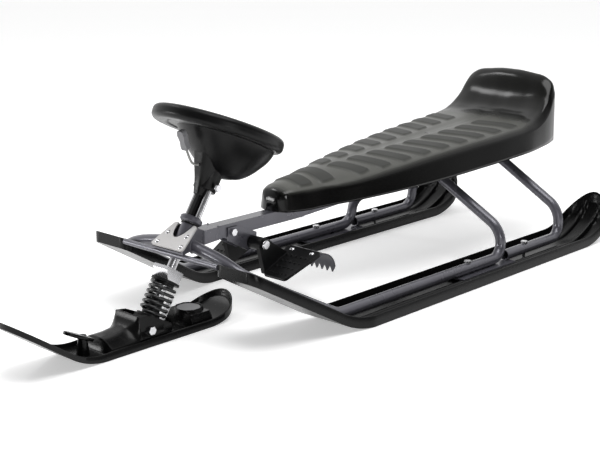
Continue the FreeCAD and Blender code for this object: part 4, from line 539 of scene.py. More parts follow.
def through(knots: numpy.ndarray, values: numpy.ndarray, wanted: numpy.ndarray) -> numpy.ndarray:
    """A smooth curve through values at knots.

    Args:
        knots: Rising places of the values.
        values: One row of values for each knot.
        wanted: Places to read.

    Returns:
        One row for each wanted place.
    """
    steps = numpy.diff(knots)
    slopes = numpy.diff(values, axis=0) / steps[:, None]
    lean = numpy.vstack([slopes[:1], (slopes[:-1] * steps[1:, None] + slopes[1:] * steps[:-1, None])
                         / (steps[1:] + steps[:-1])[:, None], slopes[-1:]])
    index = numpy.clip(numpy.searchsorted(knots, wanted, side="right") - 1, 0, len(steps) - 1)
    span = steps[index][:, None]
    share = ((wanted - knots[index]) / steps[index])[:, None]
    square, cube = share ** 2, share ** 3
    return ((2 * cube - 3 * square + 1) * values[index] + (cube - 2 * square + share) * span * lean[index]
            + (3 * square - 2 * cube) * values[index + 1] + (cube - square) * span * lean[index + 1])


def rising_line(station: numpy.ndarray, start: float, radius: float, angle: float) -> numpy.ndarray:
    """Height of a line that bends up at a start, with a radius, to an angle and then runs straight.

    Args:
        station: Distances in the line's own direction.
        start: Where the bend starts.
        radius: Radius of the bend.
        angle: Angle at its end, in degrees.

    Returns:
        The heights.
    """
    reach = radius * math.sin(math.radians(angle))
    past = numpy.clip(station - start, 0.0, reach)
    straight = numpy.maximum(station - start - reach, 0.0)
    return radius - numpy.sqrt(radius ** 2 - past ** 2) + straight * math.tan(math.radians(angle))


def mirrored_lines(lines: Sequence[float]) -> numpy.ndarray:
    """Lines on both sides of the middle, from one side's lines."""
    half = numpy.array(lines)
    return numpy.concatenate([-half[::-1], half[half > 0.0]])


def leaning(degrees: float) -> tuple[numpy.ndarray, numpy.ndarray]:
    """Unit vectors ahead and up of an axis that leans back.

    Args:
        degrees: Angle of the lean.

    Returns:
        The vector ahead and the vector up.
    """
    angle = math.radians(degrees)
    ahead = numpy.array((math.cos(angle), 0.0, math.sin(angle)))
    return ahead, numpy.array((-math.sin(angle), 0.0, math.cos(angle)))


def full_turn(count: int) -> numpy.ndarray:
    """Angles of a number of points round a ring, as a column."""
    return numpy.linspace(0.0, 2.0 * math.pi, count, endpoint=False)[:, None]


def placed(name: str, data: bpy.types.ID) -> bpy.types.Object:
    """A new object of the scene.

    Args:
        name: Name of the object.
        data: Data that it shows.

    Returns:
        The object.
    """
    obj = bpy.data.objects.new(name, data)
    bpy.context.scene.collection.objects.link(obj)
    return obj


def applied(obj: bpy.types.Object) -> bpy.types.Mesh:
    """The plain mesh of an object with its modifiers, which is then removed.

    Args:
        obj: Object to read.

    Returns:
        The mesh.
    """
    bpy.context.view_layer.update()
    graph = bpy.context.evaluated_depsgraph_get()
    mesh = bpy.data.meshes.new_from_object(obj.evaluated_get(graph), depsgraph=graph)
    bpy.data.objects.remove(obj)
    return mesh


def joined(name: str, meshes: Sequence[bpy.types.Mesh]) -> bpy.types.Mesh:
    """One mesh of several, with their float attributes kept.

    Args:
        name: Name of the mesh.
        meshes: Meshes to join.

    Returns:
        The joined mesh.
    """
    holders = [placed(name, mesh) for mesh in meshes]
    with bpy.context.temp_override(active_object=holders[0], selected_editable_objects=holders,
                                   selected_objects=holders, object=holders[0]):
        bpy.ops.object.join()
    mesh = holders[0].data
    bpy.data.objects.remove(holders[0])
    return mesh


def smoothed(mesh: bpy.types.Mesh, angle: float = SHARP_ANGLE) -> bpy.types.Mesh:
    """Shades a mesh smooth, apart from its sharp edges.

    Args:
        mesh: The mesh.
        angle: Angle past which an edge is sharp, in degrees.

    Returns:
        The same mesh.
    """
    mesh.shade_smooth()
    mesh.set_sharp_from_angle(angle=math.radians(angle))
    return mesh


def mesh_of(name: str, form: bmesh.types.BMesh) -> bpy.types.Mesh:
    """A new mesh of a form, which is then freed.

    Args:
        name: Name of the mesh.
        form: The form.

    Returns:
        The mesh.
    """
    mesh = bpy.data.meshes.new(name)
    form.to_mesh(mesh)
    form.free()
    return mesh


def turned(name: str, radii: Span, depth: float, place: Matrix, segments: int) -> bpy.types.Mesh:
    """A round bar or cone with flat ends.

    Args:
        name: Name of the mesh.
        radii: Radii of its lower and its upper end.
        depth: Distance between the ends.
        place: Its place and turn.
        segments: Sides of the round.

    Returns:
        The mesh.
    """
    form = bmesh.new()
    bmesh.ops.create_cone(form, cap_ends=True, segments=segments, radius1=radii[0] * MM,
                          radius2=radii[1] * MM, depth=depth * MM, matrix=place)
    return mesh_of(name, form)


def grid_faces(rows: int, columns: int) -> list[list[int]]:
    """The four-sided faces of a grid of points."""
    return [[first, first + columns, first + columns + 1, first + 1]
            for row in range(rows - 1) for first in range(row * columns, row * columns + columns - 1)]


def moulding(name: str, points: numpy.ndarray, faces: Sequence[Sequence[int]], angle: float = SHARP_ANGLE,
             merge: float = 0.0) -> bpy.types.Mesh:
    """A closed mesh with its faces turned outwards.

    Args:
        name: Name of the mesh.
        points: Its points, in millimetres.
        faces: Its faces.
        angle: Angle past which its edges stay sharp, in degrees.
        merge: Distance within which points become one.

    Returns:
        The mesh.
    """
    mesh = bpy.data.meshes.new(name)
    mesh.from_pydata(metres(points).tolist(), [], faces)
    form = bmesh.new()
    form.from_mesh(mesh)
    if merge > 0.0:
        bmesh.ops.remove_doubles(form, verts=form.verts, dist=merge * MM)
    bmesh.ops.recalc_face_normals(form, faces=form.faces)
    form.to_mesh(mesh)
    form.free()
    return smoothed(mesh, angle)


def closed_form(name: str, along: numpy.ndarray, across: numpy.ndarray, low: numpy.ndarray,
                high: numpy.ndarray) -> bpy.types.Mesh:
    """A closed moulding between an under side and an upper side given over the same plan.

    Args:
        name: Name of the mesh.
        along: Stations of the grid's points.
        across: Distances of the points from the middle plane.
        low: Heights of the under side.
        high: Heights of the upper side.

    Returns:
        The mesh.
    """
    rows, columns = along.shape
    count = rows * columns
    sheets = [numpy.stack([along, across, level], axis=-1).reshape(-1, 3) for level in (high, low)]
    upper = grid_faces(rows, columns)
    under = [[count + corner for corner in reversed(face)] for face in upper]
    rim = list(range(columns)) + [row * columns + columns - 1 for row in range(1, rows)]
    rim += [(rows - 1) * columns + column for column in range(columns - 2, -1, -1)]
    rim += [row * columns for row in range(rows - 2, 0, -1)]
    sides = [[first, second, count + second, count + first] for first, second in zip(rim, rim[1:] + rim[:1])]
    return moulding(name, numpy.vstack(sheets), upper + under + sides, merge=MERGE)


def bent_rod(name: str, spots: numpy.ndarray, diameter: float, steps: int,
             bevel_steps: int) -> bpy.types.Object:
    """A round rod on the smooth line that a route's points control.

    Args:
        name: Name of the object.
        spots: Points of the route, in metres.
        diameter: Thickness of the rod.
        steps: Steps along each stretch.
        bevel_steps: Steps round the rod.

    Returns:
        The rod, a curve.
    """
    curve = bpy.data.curves.new(name, "CURVE")
    curve.dimensions = "3D"
    curve.resolution_u = steps
    curve.bevel_depth = diameter * 0.5 * MM
    curve.bevel_resolution = bevel_steps
    curve.use_fill_caps = True
    spline = curve.splines.new("NURBS")
    spline.points.add(len(spots) - 1)
    for point, spot in zip(spline.points, spots):
        point.co = (*spot, 1.0)
    spline.order_u = 3
    spline.use_endpoint_u = True
    return placed(name, curve)


def ride_as(piece: bpy.types.Object, body: Body, slot: Slot, finishes: Finishes,
            *nodes: str) -> bpy.types.Object:
    """Dresses a finished object, sets it on its body and hides the CAD nodes that it stands for.

    Args:
        piece: The object.
        body: Body that it moves with.
        slot: Slot of its finish.
        finishes: The finishes.
        *nodes: CAD nodes that it replaces.

    Returns:
        The piece.
    """
    finishes.dress(piece, slot)
    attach(piece, body.value)
    if nodes:
        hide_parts(*nodes)
    LOG.info("built %s", piece.name)
    return piece


@dataclass
class Seat:
    """The moulded seat: a crowned shell with raised tread pads, a spine groove and webs underneath.

    Each of its rows gives a share of the length and the section there: the half widths of its lower edge and
    of its crest, as shares of half_width, and the heights of its crest's edge and middle, of back_rise. The
    crest is given from its edge over the middle by the share of its half width, of its drop and of its rise.
    """

    front: float = 114.0
    length: float = 742.0
    half_width: float = 130.0
    back_rise: float = 175.0
    beam_bend: float = 60.0
    beam_top: float = 157.2
    beam_rise: float = 3.1
    round_share: float = 0.22
    wall: float = 4.0
    cap_rise: float = 2.5
    nose_cap: Span = (0.4, 0.5)
    back_cap: Span = (0.04, 0.9)
    pad_height: float = 2.8
    pad_width: float = 30.0
    pad_pitch: float = 51.0
    pad_sweep: float = 28.0
    pad_inner: float = 5.0
    pad_last_inner: float = 27.0
    pad_outer_share: float = 0.88
    pad_front: float = -38.0
    pad_pairs: int = 9
    pad_edge: float = 1.5
    pad_fade: Span = (0.9, 0.97)
    corner_hardness: float = 0.34
    corner_limit: float = 60.0
    front_pads: Span = (12.0, 58.0)
    front_pad_width: float = 32.0
    front_pad_share: float = 0.84
    front_pad_taper: float = 0.86
    groove_start: float = -20.0
    groove_length: float = 420.0
    groove_depth: float = 2.4
    groove_half: float = 25.0
    groove_fall: Span = (0.0, 0.9)
    groove_rise: Span = (1.1, 1.38)
    groove_rise_share: float = 0.8
    groove_sides: Span = (0.15, 1.0)
    groove_reach: float = 0.5
    top_edge: Span = (0.86, 1.0)
    top_back: Span = (0.81, 0.88)
    top_back_share: float = 0.94
    top_front: Span = (0.004, 0.03)
    flank_share: float = 1.2
    web: float = 6.0
    web_shares: tuple[float, ...] = (0.12, 0.36, 0.6, 0.87)
    web_step: int = 4
    crest_points: int = 52
    flank_points: int = 9
    stretches: tuple[tuple[float, float, int], ...] = ((0.0, 0.05, 25), (0.05, 0.86, 235), (0.86, 1.0, 55))
    crest: tuple[Point, ...] = ((1.0, 1.0, 0.0), (0.93, 0.25, 0.0), (0.8, 0.0, 0.22), (0.45, 0.0, 0.75),
                                (0.0, 0.0, 1.0), (-0.45, 0.0, 0.75))
    rows: tuple[tuple[float, ...], ...] = (
        (0.000, 0.150, 0.130, 0.130, 0.150),
        (0.007, 0.220, 0.190, 0.172, 0.198),
        (0.022, 0.285, 0.250, 0.197, 0.238),
        (0.050, 0.350, 0.305, 0.205, 0.268),
        (0.115, 0.430, 0.385, 0.200, 0.290),
        (0.168, 0.540, 0.500, 0.200, 0.305),
        (0.248, 0.665, 0.610, 0.215, 0.320),
        (0.340, 0.780, 0.700, 0.240, 0.325),
        (0.473, 0.892, 0.800, 0.270, 0.325),
        (0.605, 0.955, 0.870, 0.285, 0.330),
        (0.751, 1.000, 0.930, 0.290, 0.335),
        (0.840, 1.000, 0.940, 0.305, 0.340),
        (0.890, 0.965, 0.930, 0.345, 0.355),
        (0.922, 0.940, 0.915, 0.415, 0.415),
        (0.948, 0.910, 0.890, 0.515, 0.560),
        (0.966, 0.880, 0.865, 0.630, 0.740),
        (0.982, 0.850, 0.835, 0.705, 0.790),
        (1.000, 0.790, 0.775, 0.690, 0.755),
    )

    def laws(self, shares: numpy.ndarray) -> numpy.ndarray:
        """The section values at shares of the length."""
        table = numpy.array(self.rows)
        return through(table[:, 0], table[:, 1:], shares)

    def base(self, station: float) -> float:
        """Height of the beam's upper face under a station."""
        return self.beam_top + max(self.beam_bend - station, 0.0) * math.tan(math.radians(self.beam_rise))

    def crest_half(self, station: float) -> float:
        """Half the width of the crest at a station."""
        return self.laws(numpy.array([(self.front - station) / self.length]))[0, 1] * self.half_width

    def half_section(self, station: float, law: Sequence[float],
                     inset: float = 0.0) -> tuple[numpy.ndarray, numpy.ndarray]:
        """Half a cross-section, from the lower edge over the flank to the middle.

        Args:
            station: Place along the sled.
            law: Section values there.
            inset: Distance that the section is drawn in.

        Returns:
            Across and up for each point, and the share of the crest's half width.
        """
        low_share, edge_share, edge_rise, middle_rise = law
        low = self.base(station)
        low_half = low_share * self.half_width - inset
        edge_half = edge_share * self.half_width - inset
        edge = low + edge_rise * self.back_rise - inset
        middle = low + middle_rise * self.back_rise - inset
        drop = (edge - low) * self.round_share
        across, fall, rise = numpy.array(self.crest).T
        crest = numpy.column_stack([across * edge_half, edge - drop * fall + (middle - edge) * rise])
        reach = numpy.concatenate([[0.0], numpy.cumsum(numpy.linalg.norm(numpy.diff(crest, axis=0), axis=1))])
        curve = through(reach, crest, reach[-2] * numpy.linspace(0.0, 1.0, self.crest_points))
        climb = numpy.linspace(0.0, 1.0, self.flank_points)[:-1, None]
        flank = numpy.array([(low_half, low)]) * (1.0 - climb) + curve[:1] * climb
        beside = numpy.full(len(flank), self.flank_share)
        share = numpy.concatenate([beside, curve[:, 0] / max(edge_half, 1.0)])
        return numpy.vstack([flank, curve]), share

    def pads(self) -> list[numpy.ndarray]:
        """Plan outlines of the raised pads.

        Returns:
            The corners of each pad.
        """
        outlines = []
        half = self.pad_width * 0.5
        for step in range(self.pad_pairs):
            station = self.pad_front - step * self.pad_pitch
            swept = station - self.pad_sweep
            outer = self.crest_half(station) * self.pad_outer_share
            inner = self.pad_inner + (self.pad_last_inner - self.pad_inner) * step / (self.pad_pairs - 1)
            for side in (1.0, -1.0):
                outlines.append([(station + half, side * inner), (station - half, side * inner),
                                 (swept - half, side * outer), (swept + half, side * outer)])
        half = self.front_pad_width * 0.5
        for station in self.front_pads:
            wide = self.crest_half(station) * self.front_pad_share
            narrow = wide * self.front_pad_taper
            outlines.append([(station - half, -wide), (station + half, -narrow), (station + half, narrow),
                             (station - half, wide)])
        return [numpy.array(outline) for outline in outlines]

    def pad_share(self, along: numpy.ndarray, across: numpy.ndarray) -> numpy.ndarray:
        """How far each point of the sitting surface lies on a pad, from 0 to 1.

        Args:
            along: Stations of the points.
            across: Distances from the middle.

        Returns:
            One share for each point.
        """
        share = numpy.zeros(along.shape)
        limit = self.corner_limit
        for outline in self.pads():
            middle = outline.mean(axis=0)
            total = numpy.zeros(along.shape)
            for start, end in zip(outline, numpy.roll(outline, -1, axis=0)):
                way = (end - start) / numpy.linalg.norm(end - start)
                out = numpy.array([way[1], -way[0]])
                if out @ (middle - start) > 0:
                    out = -out
                away = (along - start[0]) * out[0] + (across - start[1]) * out[1]
                total += numpy.exp(numpy.clip(away * self.corner_hardness, -limit, limit))
            away = numpy.log(total) / self.corner_hardness
            share = numpy.maximum(share, within(away, 0.0, self.pad_edge))
        return share

    def groove(self, along: numpy.ndarray, across: numpy.ndarray) -> numpy.ndarray:
        """Depth of the groove along the spine, which widens to the back.

        Args:
            along: Stations of the points.
            across: Distances from the middle.

        Returns:
            One depth for each point.
        """
        run = (self.groove_start - along) / self.groove_length
        width = self.pad_inner + (self.groove_half - self.pad_inner) * numpy.clip(run, 0.0, 1.0)
        depth = ramp(run, *self.groove_fall) * (1.0 - self.groove_rise_share * ramp(run, *self.groove_rise))
        return self.groove_depth * depth * (1.0 - ramp(numpy.abs(across) / width, *self.groove_sides))

    def skin(self) -> tuple[numpy.ndarray, numpy.ndarray, numpy.ndarray]:
        """The outer skin as a grid of points with its two attributes.

        Returns:
            Points of the grid, the share of the sitting surface, which also places the seat's painted sheen,
            and the share of the pads.
        """
        runs = [numpy.linspace(*ends, count, endpoint=False) for *ends, count in self.stretches]
        shares = numpy.concatenate([*runs, [1.0]])
        rings, crests = [], []
        for share, law in zip(shares, self.laws(shares)):
            station = self.front - self.length * share
            half, crest = self.half_section(station, law)
            section = numpy.vstack([half, half[-2::-1] * numpy.array([-1.0, 1.0])])
            rings.append(numpy.column_stack([numpy.full(len(section), station), section]))
            crests.append(numpy.concatenate([crest, crest[-2::-1]]))
        grid = numpy.array(rings)
        crest = numpy.abs(numpy.array(crests))
        behind = numpy.broadcast_to(shares[:, None], crest.shape)
        # The sitting share sets the satin grain and also the painted sheen of the top, faded at the crest's
        # edges, at the nose and on the backrest.
        sitting = (1.0 - ramp(crest, *self.top_edge)) * ramp(behind, *self.top_front)
        sitting = sitting * (1.0 - self.top_back_share * ramp(behind, *self.top_back))
        pad = self.pad_share(grid[..., 0], grid[..., 1]) * (1.0 - ramp(crest, *self.pad_fade))
        groove = self.groove(grid[..., 0], grid[..., 1]) * (crest < self.groove_reach)
        grid[..., 2] += pad * self.pad_height - groove
        return grid, sitting, pad

    def cap(self, ring: numpy.ndarray, way: float, shape: Span) -> tuple[numpy.ndarray, numpy.ndarray]:
        """The cap of one end of the skin.

        Args:
            ring: Last ring of the skin at that end.
            way: 1 at the front, -1 at the back.
            shape: How far the cap's ring is drawn in, and how far it stands out.

        Returns:
            The cap's ring and its tip.
        """
        share, reach = shape
        tip = numpy.array([ring[0, 0] + way * self.cap_rise, 0.0, ring[0, 2]])
        return ring * (1.0 - share) + tip * share + numpy.array([way * self.cap_rise * reach, 0.0, 0.0]), tip

    def webs(self) -> bpy.types.Mesh:
        """The cross webs that stand on the beam.

        Returns:
            Their mesh.
        """
        points: list[Point] = []
        faces: list[list[int]] = []
        for share in self.web_shares:
            station = self.front - self.length * share
            half, _ = self.half_section(station, self.laws(numpy.array([share]))[0], self.wall * 0.5)
            side = half[::self.web_step]
            outline = numpy.vstack([side, half[-1:], (side * numpy.array([-1.0, 1.0]))[::-1]])
            count = len(outline)
            start = len(points)
            for reach in (self.web * 0.5, -self.web * 0.5):
                points.extend((station + reach, across, up) for across, up in outline)
            faces.append([start + index for index in range(count)])
            faces.append([start + count + index for index in reversed(range(count))])
            for index in range(count):
                after = (index + 1) % count
                faces.append([start + after, start + index, start + count + index, start + count + after])
        mesh = bpy.data.meshes.new("seat_webs")
        mesh.from_pydata(metres(points).tolist(), [], faces)
        return mesh

    def build(self, finishes: Finishes) -> bpy.types.Object:
        """Builds the seat in place of its CAD solid.

        Args:
            finishes: The finishes.

        Returns:
            The seat.
        """
        grid, sitting, pad = self.skin()
        rings, around = grid.shape[:2]
        nose_ring, nose = self.cap(grid[0], 1.0, self.nose_cap)
        back_ring, back = self.cap(grid[-1], -1.0, self.back_cap)
        points = numpy.vstack([grid.reshape(-1, 3), nose_ring, back_ring, nose[None], back[None]])
        faces = grid_faces(rings, around)
        front_start, back_start, last = rings * around, (rings + 1) * around, (rings - 1) * around
        tip = (rings + 2) * around
        for index in range(around - 1):
            faces.append([front_start + index, index, index + 1, front_start + index + 1])
            faces.append([tip, front_start + index, front_start + index + 1])
            faces.append([last + index, back_start + index, back_start + index + 1, last + index + 1])
            faces.append([back_start + index, tip + 1, back_start + index + 1])
        mesh = bpy.data.meshes.new("seat_moulding")
        mesh.from_pydata(metres(points).tolist(), [], faces)
        for name, values in (("sitting", sitting), ("pad", pad)):
            layer = mesh.attributes.new(name, "FLOAT", "POINT")
            rest = numpy.zeros(len(points) - rings * around)
            layer.data.foreach_set("value", numpy.concatenate([values.ravel(), rest]))
        mesh.shade_smooth()
        shell = placed("seat_shell", mesh)
        wall = shell.modifiers.new("wall", "SOLIDIFY")
        wall.thickness = self.wall * MM
        wall.offset = -1.0
        mesh = joined("seat_moulded", [applied(shell), self.webs()])
        return ride_as(placed("seat_moulded", mesh), Body.FRAME, Slot.SEAT_BLACK, finishes, "seat")


@dataclass
class SideSki:
    """A channel-shaped side ski: raised nose with an end wall, ribbed floor and a scooped round tail."""

    track: float = 378.0
    nose_track: float = 301.0
    half_width: float = 50.5
    nose_half_width: float = 45.0
    floor: float = 4.0
    wall: float = 3.6
    wall_soft: float = 0.7
    wall_height: float = 20.0
    lip: float = 1.4
    lip_reach: float = 1.0
    bend: float = 115.0
    bend_radius: float = 130.0
    nose_angle: float = 29.5
    nose: float = 351.0
    nose_round: float = 16.0
    tail_bend: float = -545.0
    tail_radius: float = 132.0
    tail: float = -661.0
    tail_top: float = 95.0
    rib_offset: float = 17.0
    rib_half: float = 4.0
    rib_soft: float = 1.5
    rib_height: float = 4.5
    tail_rib_height: float = 9.0
    tail_rib_run: Span = (-10.0, 60.0)
    groove_pitch: float = 25.0
    groove_half: float = 4.0
    groove_soft: float = 1.0
    groove_depth: float = 1.6
    thinnest: float = 1.0
    tail_turn: tuple[float, int] = (0.02, 34)
    middle_rows: tuple[float, int] = (305.0, 190)
    nose_rows: tuple[float, float, int] = (5.4, 40.0, 24)
    end_rows: tuple[float, ...] = (0.0, 0.4, 1.2, 2.4, 3.2, 3.8, 4.4)
    lines: tuple[float, ...] = (0.0, 0.08, 0.16, 0.24, 0.27, 0.3, 0.38, 0.41, 0.44, 0.5, 0.6, 0.7, 0.8, 0.885,
                                0.905, 0.925, 0.945, 0.97, 0.99, 1.0)

    def stations(self) -> numpy.ndarray:
        """Stations of the grid's rows, closest at the two ends.

        Returns:
            The stations, as a column.
        """
        start, count = self.tail_turn
        tail = self.tail + self.half_width * (1.0 - numpy.cos(numpy.linspace(start, math.pi * 0.5, count)))
        middle = numpy.linspace(tail[-1], *self.middle_rows)
        nose = self.nose - numpy.concatenate([self.end_rows, numpy.linspace(*self.nose_rows)])
        return numpy.unique(numpy.concatenate([tail, middle, nose]).round(3))[:, None]

    def base(self, stations: numpy.ndarray) -> numpy.ndarray:
        """Height of the running face."""
        return (rising_line(stations, self.bend, self.bend_radius, self.nose_angle)
                + rising_line(-stations, -self.tail_bend, self.tail_radius, TAIL_ANGLE))

    def relief(self, along: numpy.ndarray, offset: numpy.ndarray, edge: numpy.ndarray) -> numpy.ndarray:
        """Height of the ribs and the walls over the floor.

        Args:
            along: Stations of the points.
            offset: Distances from the ski's middle.
            edge: Distances from its outline.

        Returns:
            The heights.
        """
        start, end = self.tail_rib_run
        growth = ramp(-along, start - self.tail_bend, end - self.tail_bend)
        rib_height = self.rib_height + (self.tail_rib_height - self.rib_height) * growth
        rib = rib_height * within(numpy.abs(offset - self.rib_offset), self.rib_half, self.rib_soft)
        wall = (self.wall_height - self.floor) * within(edge, self.wall, self.wall_soft)
        return numpy.maximum(rib, wall - self.lip * (1.0 - ramp(edge, 0.0, self.lip_reach)))

    def grooves(self, along: numpy.ndarray, offset: numpy.ndarray, edge: numpy.ndarray) -> numpy.ndarray:
        """Depth of the running face's grooves.

        Args:
            along: Stations of the points.
            offset: Distances from the ski's middle.
            edge: Distances from its outline.

        Returns:
            The depths.
        """
        half_pitch = self.groove_pitch * 0.5
        away = numpy.abs((offset + half_pitch) % self.groove_pitch - half_pitch)
        inside = (edge > self.groove_half * 2.0) * (along > self.tail_bend) * (along < self.bend)
        return self.groove_depth * within(away, self.groove_half, self.groove_soft) * inside

    def build(self, side: float, node: str, finishes: Finishes) -> bpy.types.Object:
        """Builds one ski in place of its CAD solid.

        Args:
            side: 1 for the left ski, -1 for the right one.
            node: CAD node that it replaces.
            finishes: The finishes.

        Returns:
            The ski.
        """
        stations = self.stations()
        share = numpy.clip((stations - self.bend) / (self.nose - self.bend), 0.0, 1.0)
        middle = (self.track + (self.nose_track - self.track) * share) * 0.5
        straight = self.half_width + (self.nose_half_width - self.half_width) * share
        behind = numpy.clip(self.tail + self.half_width - stations, 0.0, self.half_width)
        ahead = numpy.clip(stations - (self.nose - self.nose_round), 0.0, self.nose_round)
        half = numpy.where(behind > 0.0, numpy.sqrt(self.half_width ** 2 - behind ** 2), straight)
        half = half - self.nose_round + numpy.sqrt(self.nose_round ** 2 - ahead ** 2)
        across = half * mirrored_lines(self.lines)[None, :]
        offset = numpy.abs(across)
        along = numpy.broadcast_to(stations, across.shape)
        edge = numpy.where(behind > 0.0, self.half_width - numpy.hypot(behind, across), half - offset)
        edge = numpy.minimum(edge, self.nose - along)
        base = numpy.broadcast_to(self.base(stations), across.shape)
        low = base + self.grooves(along, offset, edge)
        top = numpy.where(along > 0.0, numpy.inf, self.tail_top)
        high = numpy.minimum(base + self.floor + self.relief(along, offset, edge), top)
        high = numpy.maximum(high, low + self.thinnest)
        low = numpy.minimum(low, high - self.thinnest)
        mesh = closed_form(node + "_moulded", along, side * (middle + across), low, high)
        return ride_as(placed(node + "_moulded", mesh), Body.FRAME, Slot.SKI_BLACK, finishes, node)


@dataclass
class FrontSki:
    """The steered ski: a narrow blade with a prow round its pivot, a crowned deck, a hump and a hook."""

    half_width: float = 43.0
    tail: float = 226.0
    tip: float = 673.5
    floor: float = 4.0
    wall: float = 3.4
    wall_height: float = 13.0
    tip_wall: float = 10.0
    tip_wall_run: Span = (-20.0, 60.0)
    lip_reach: float = 1.0
    bend: float = 515.0
    bend_radius: float = 121.0
    tip_angle: float = 34.0
    tail_bend: float = 300.0
    tail_radius: float = 110.0
    soft: float = 0.6
    cheek_soft: float = 0.5
    slot_half: float = 15.6
    slot_rear: float = 372.0
    slot_rear_soft: float = 1.0
    slot_front: float = 434.0
    cheek_inner: float = 26.0
    cheek_outer: float = 29.4
    cheek_lines: tuple[Span, ...] = ((366.0, 6.0), (384.0, 13.0), (423.0, 36.0), (434.0, 39.0))
    prow_lines: tuple[Span, ...] = ((366.0, 18.0), (388.0, 31.0), (420.0, 46.0), (441.0, 49.0))
    prow_front: float = 441.0
    foot_share: float = 0.5
    deck_front: float = 508.0
    deck_end: float = 6.0
    deck_height: float = 27.0
    deck_crest: float = 9.0
    deck_crest_inset: float = 4.0
    deck_crest_run: Span = (0.0, 0.25)
    deck_foot: float = 37.0
    deck_round: float = 1.6
    deck_shares: tuple[Span, ...] = ((0.0, 1.0), (0.06, 0.62), (0.14, 0.36), (0.26, 0.16), (0.44, 0.05),
                                     (1.0, 0.0))
    hump_rear: float = 284.0
    hump_front: float = 335.0
    hump_half: float = 36.0
    hump_height: float = 25.0
    hump_draft: float = 6.0
    hump_front_steepness: float = 1.5
    disc: float = 310.0
    disc_radius: float = 24.0
    disc_ring: float = 3.0
    disc_height: float = 30.0
    disc_drop: float = 3.0
    plate_gap: float = 0.8
    plate_draft: float = 0.6
    plate_depth: float = 1.6
    plate_rise: float = 0.9
    hook: float = 530.0
    hook_height: float = 36.0
    hook_length: float = 58.0
    hook_width: float = 30.0
    hook_thickness: float = 6.0
    hook_tilt: float = 25.0
    hook_ahead: float = 0.12
    hook_edge: float = 0.12
    hook_foot: float = 11.0
    hook_neck: float = 6.5
    neck_sides: int = 40
    round_sides: int = 64
    end_turn: tuple[float, int] = (0.03, 30)
    middle_rows: int = 190
    hump_front_row: float = 3.0
    steep_rows: tuple[float, ...] = (-3.0, -2.0, -1.2, -0.5, 0.0, 0.5, 1.2, 2.0, 3.0)
    lines: tuple[float, ...] = (0.0, 3.0, 6.0, 9.0, 12.0, 14.4, 15.2, 16.0, 17.0, 19.0, 21.5, 24.0, 25.3,
                                26.0, 26.7, 28.0, 28.9, 29.4, 29.9, 30.6, 32.0, 34.0, 35.5, 36.5, 37.5,
                                38.6, 39.2, 39.8, 40.6, 41.8, 42.6, 43.0)

    def stations(self) -> numpy.ndarray:
        """Stations of the grid's rows, closest at the ends and at the steep forms.

        Returns:
            The stations, as a column.
        """
        start, count = self.end_turn
        reach = self.half_width * (1.0 - numpy.cos(numpy.linspace(start, math.pi * 0.5, count)))
        tail, tip = self.tail + reach, self.tip - reach
        spots = (self.hump_rear, self.hump_front - self.hump_front_row, self.slot_rear, self.slot_front,
                 self.prow_front, self.disc - self.disc_radius, self.disc + self.disc_radius)
        steep = [spot + step for spot in spots for step in self.steep_rows]
        middle = numpy.linspace(tail[-1], tip[-1], self.middle_rows)
        return numpy.unique(numpy.concatenate([tail, tip, steep, middle]).round(3))[:, None]

    def base(self, along: numpy.ndarray) -> numpy.ndarray:
        """Height of the running face."""
        return (rising_line(along, self.bend, self.bend_radius, self.tip_angle)
                + rising_line(-along, -self.tail_bend, self.tail_radius, TAIL_ANGLE))

    def prow(self, along: numpy.ndarray, offset: numpy.ndarray) -> numpy.ndarray:
        """Height of the prow's cheeks, outer skins and front wall.

        Args:
            along: Stations of the points.
            offset: Distances from the middle.

        Returns:
            The heights.
        """
        inside = beyond(along, self.slot_rear, self.slot_rear_soft)
        inside = inside * within(along, self.prow_front, self.soft)
        cheek, skin = (numpy.interp(along, *zip(*line)) for line in (self.cheek_lines, self.prow_lines))
        outer = within(offset, self.cheek_outer, self.cheek_soft)
        wall = beyond(offset, self.cheek_inner, self.cheek_soft) * outer * skin
        solid = beyond(offset, self.slot_half, self.cheek_soft) * outer * cheek
        front = beyond(along, self.slot_front, self.soft) * outer * skin
        flare = numpy.clip((self.deck_foot - offset) / (self.deck_foot - self.cheek_outer), 0.0, 1.0)
        foot = self.wall_height + (skin * self.foot_share - self.wall_height) * flare ** 2
        foot = foot * (offset > self.cheek_outer) * (offset < self.deck_foot)
        return numpy.maximum.reduce([wall, solid, front, foot]) * inside

    def deck(self, along: numpy.ndarray, offset: numpy.ndarray) -> numpy.ndarray:
        """Height of the crowned deck between the prow and the hook.

        Args:
            along: Stations of the points.
            offset: Distances from the middle.

        Returns:
            The heights.
        """
        shares = numpy.array(self.deck_shares)
        run = (along - self.prow_front) / (self.deck_front - self.prow_front)
        fall = through(shares[:, 0], shares[:, 1:], numpy.clip(run, 0.0, 1.0).ravel()).reshape(along.shape)
        top = self.deck_height + (self.prow_lines[-1][1] - self.deck_height) * fall
        widest = self.cheek_outer - self.deck_crest_inset
        crest = self.deck_crest + (widest - self.deck_crest) * (1.0 - ramp(run, *self.deck_crest_run))
        slope = numpy.clip((self.deck_foot - offset) / (self.deck_foot - crest), 0.0, 1.0)
        crown = self.wall_height + (top - self.wall_height) * (1.0 - (1.0 - slope) ** self.deck_round)
        inside = ramp(along, self.prow_front - self.soft, self.prow_front)
        inside = inside * (1.0 - ramp(along, self.deck_front - self.deck_end, self.deck_front))
        return crown * inside * (offset < self.deck_foot)

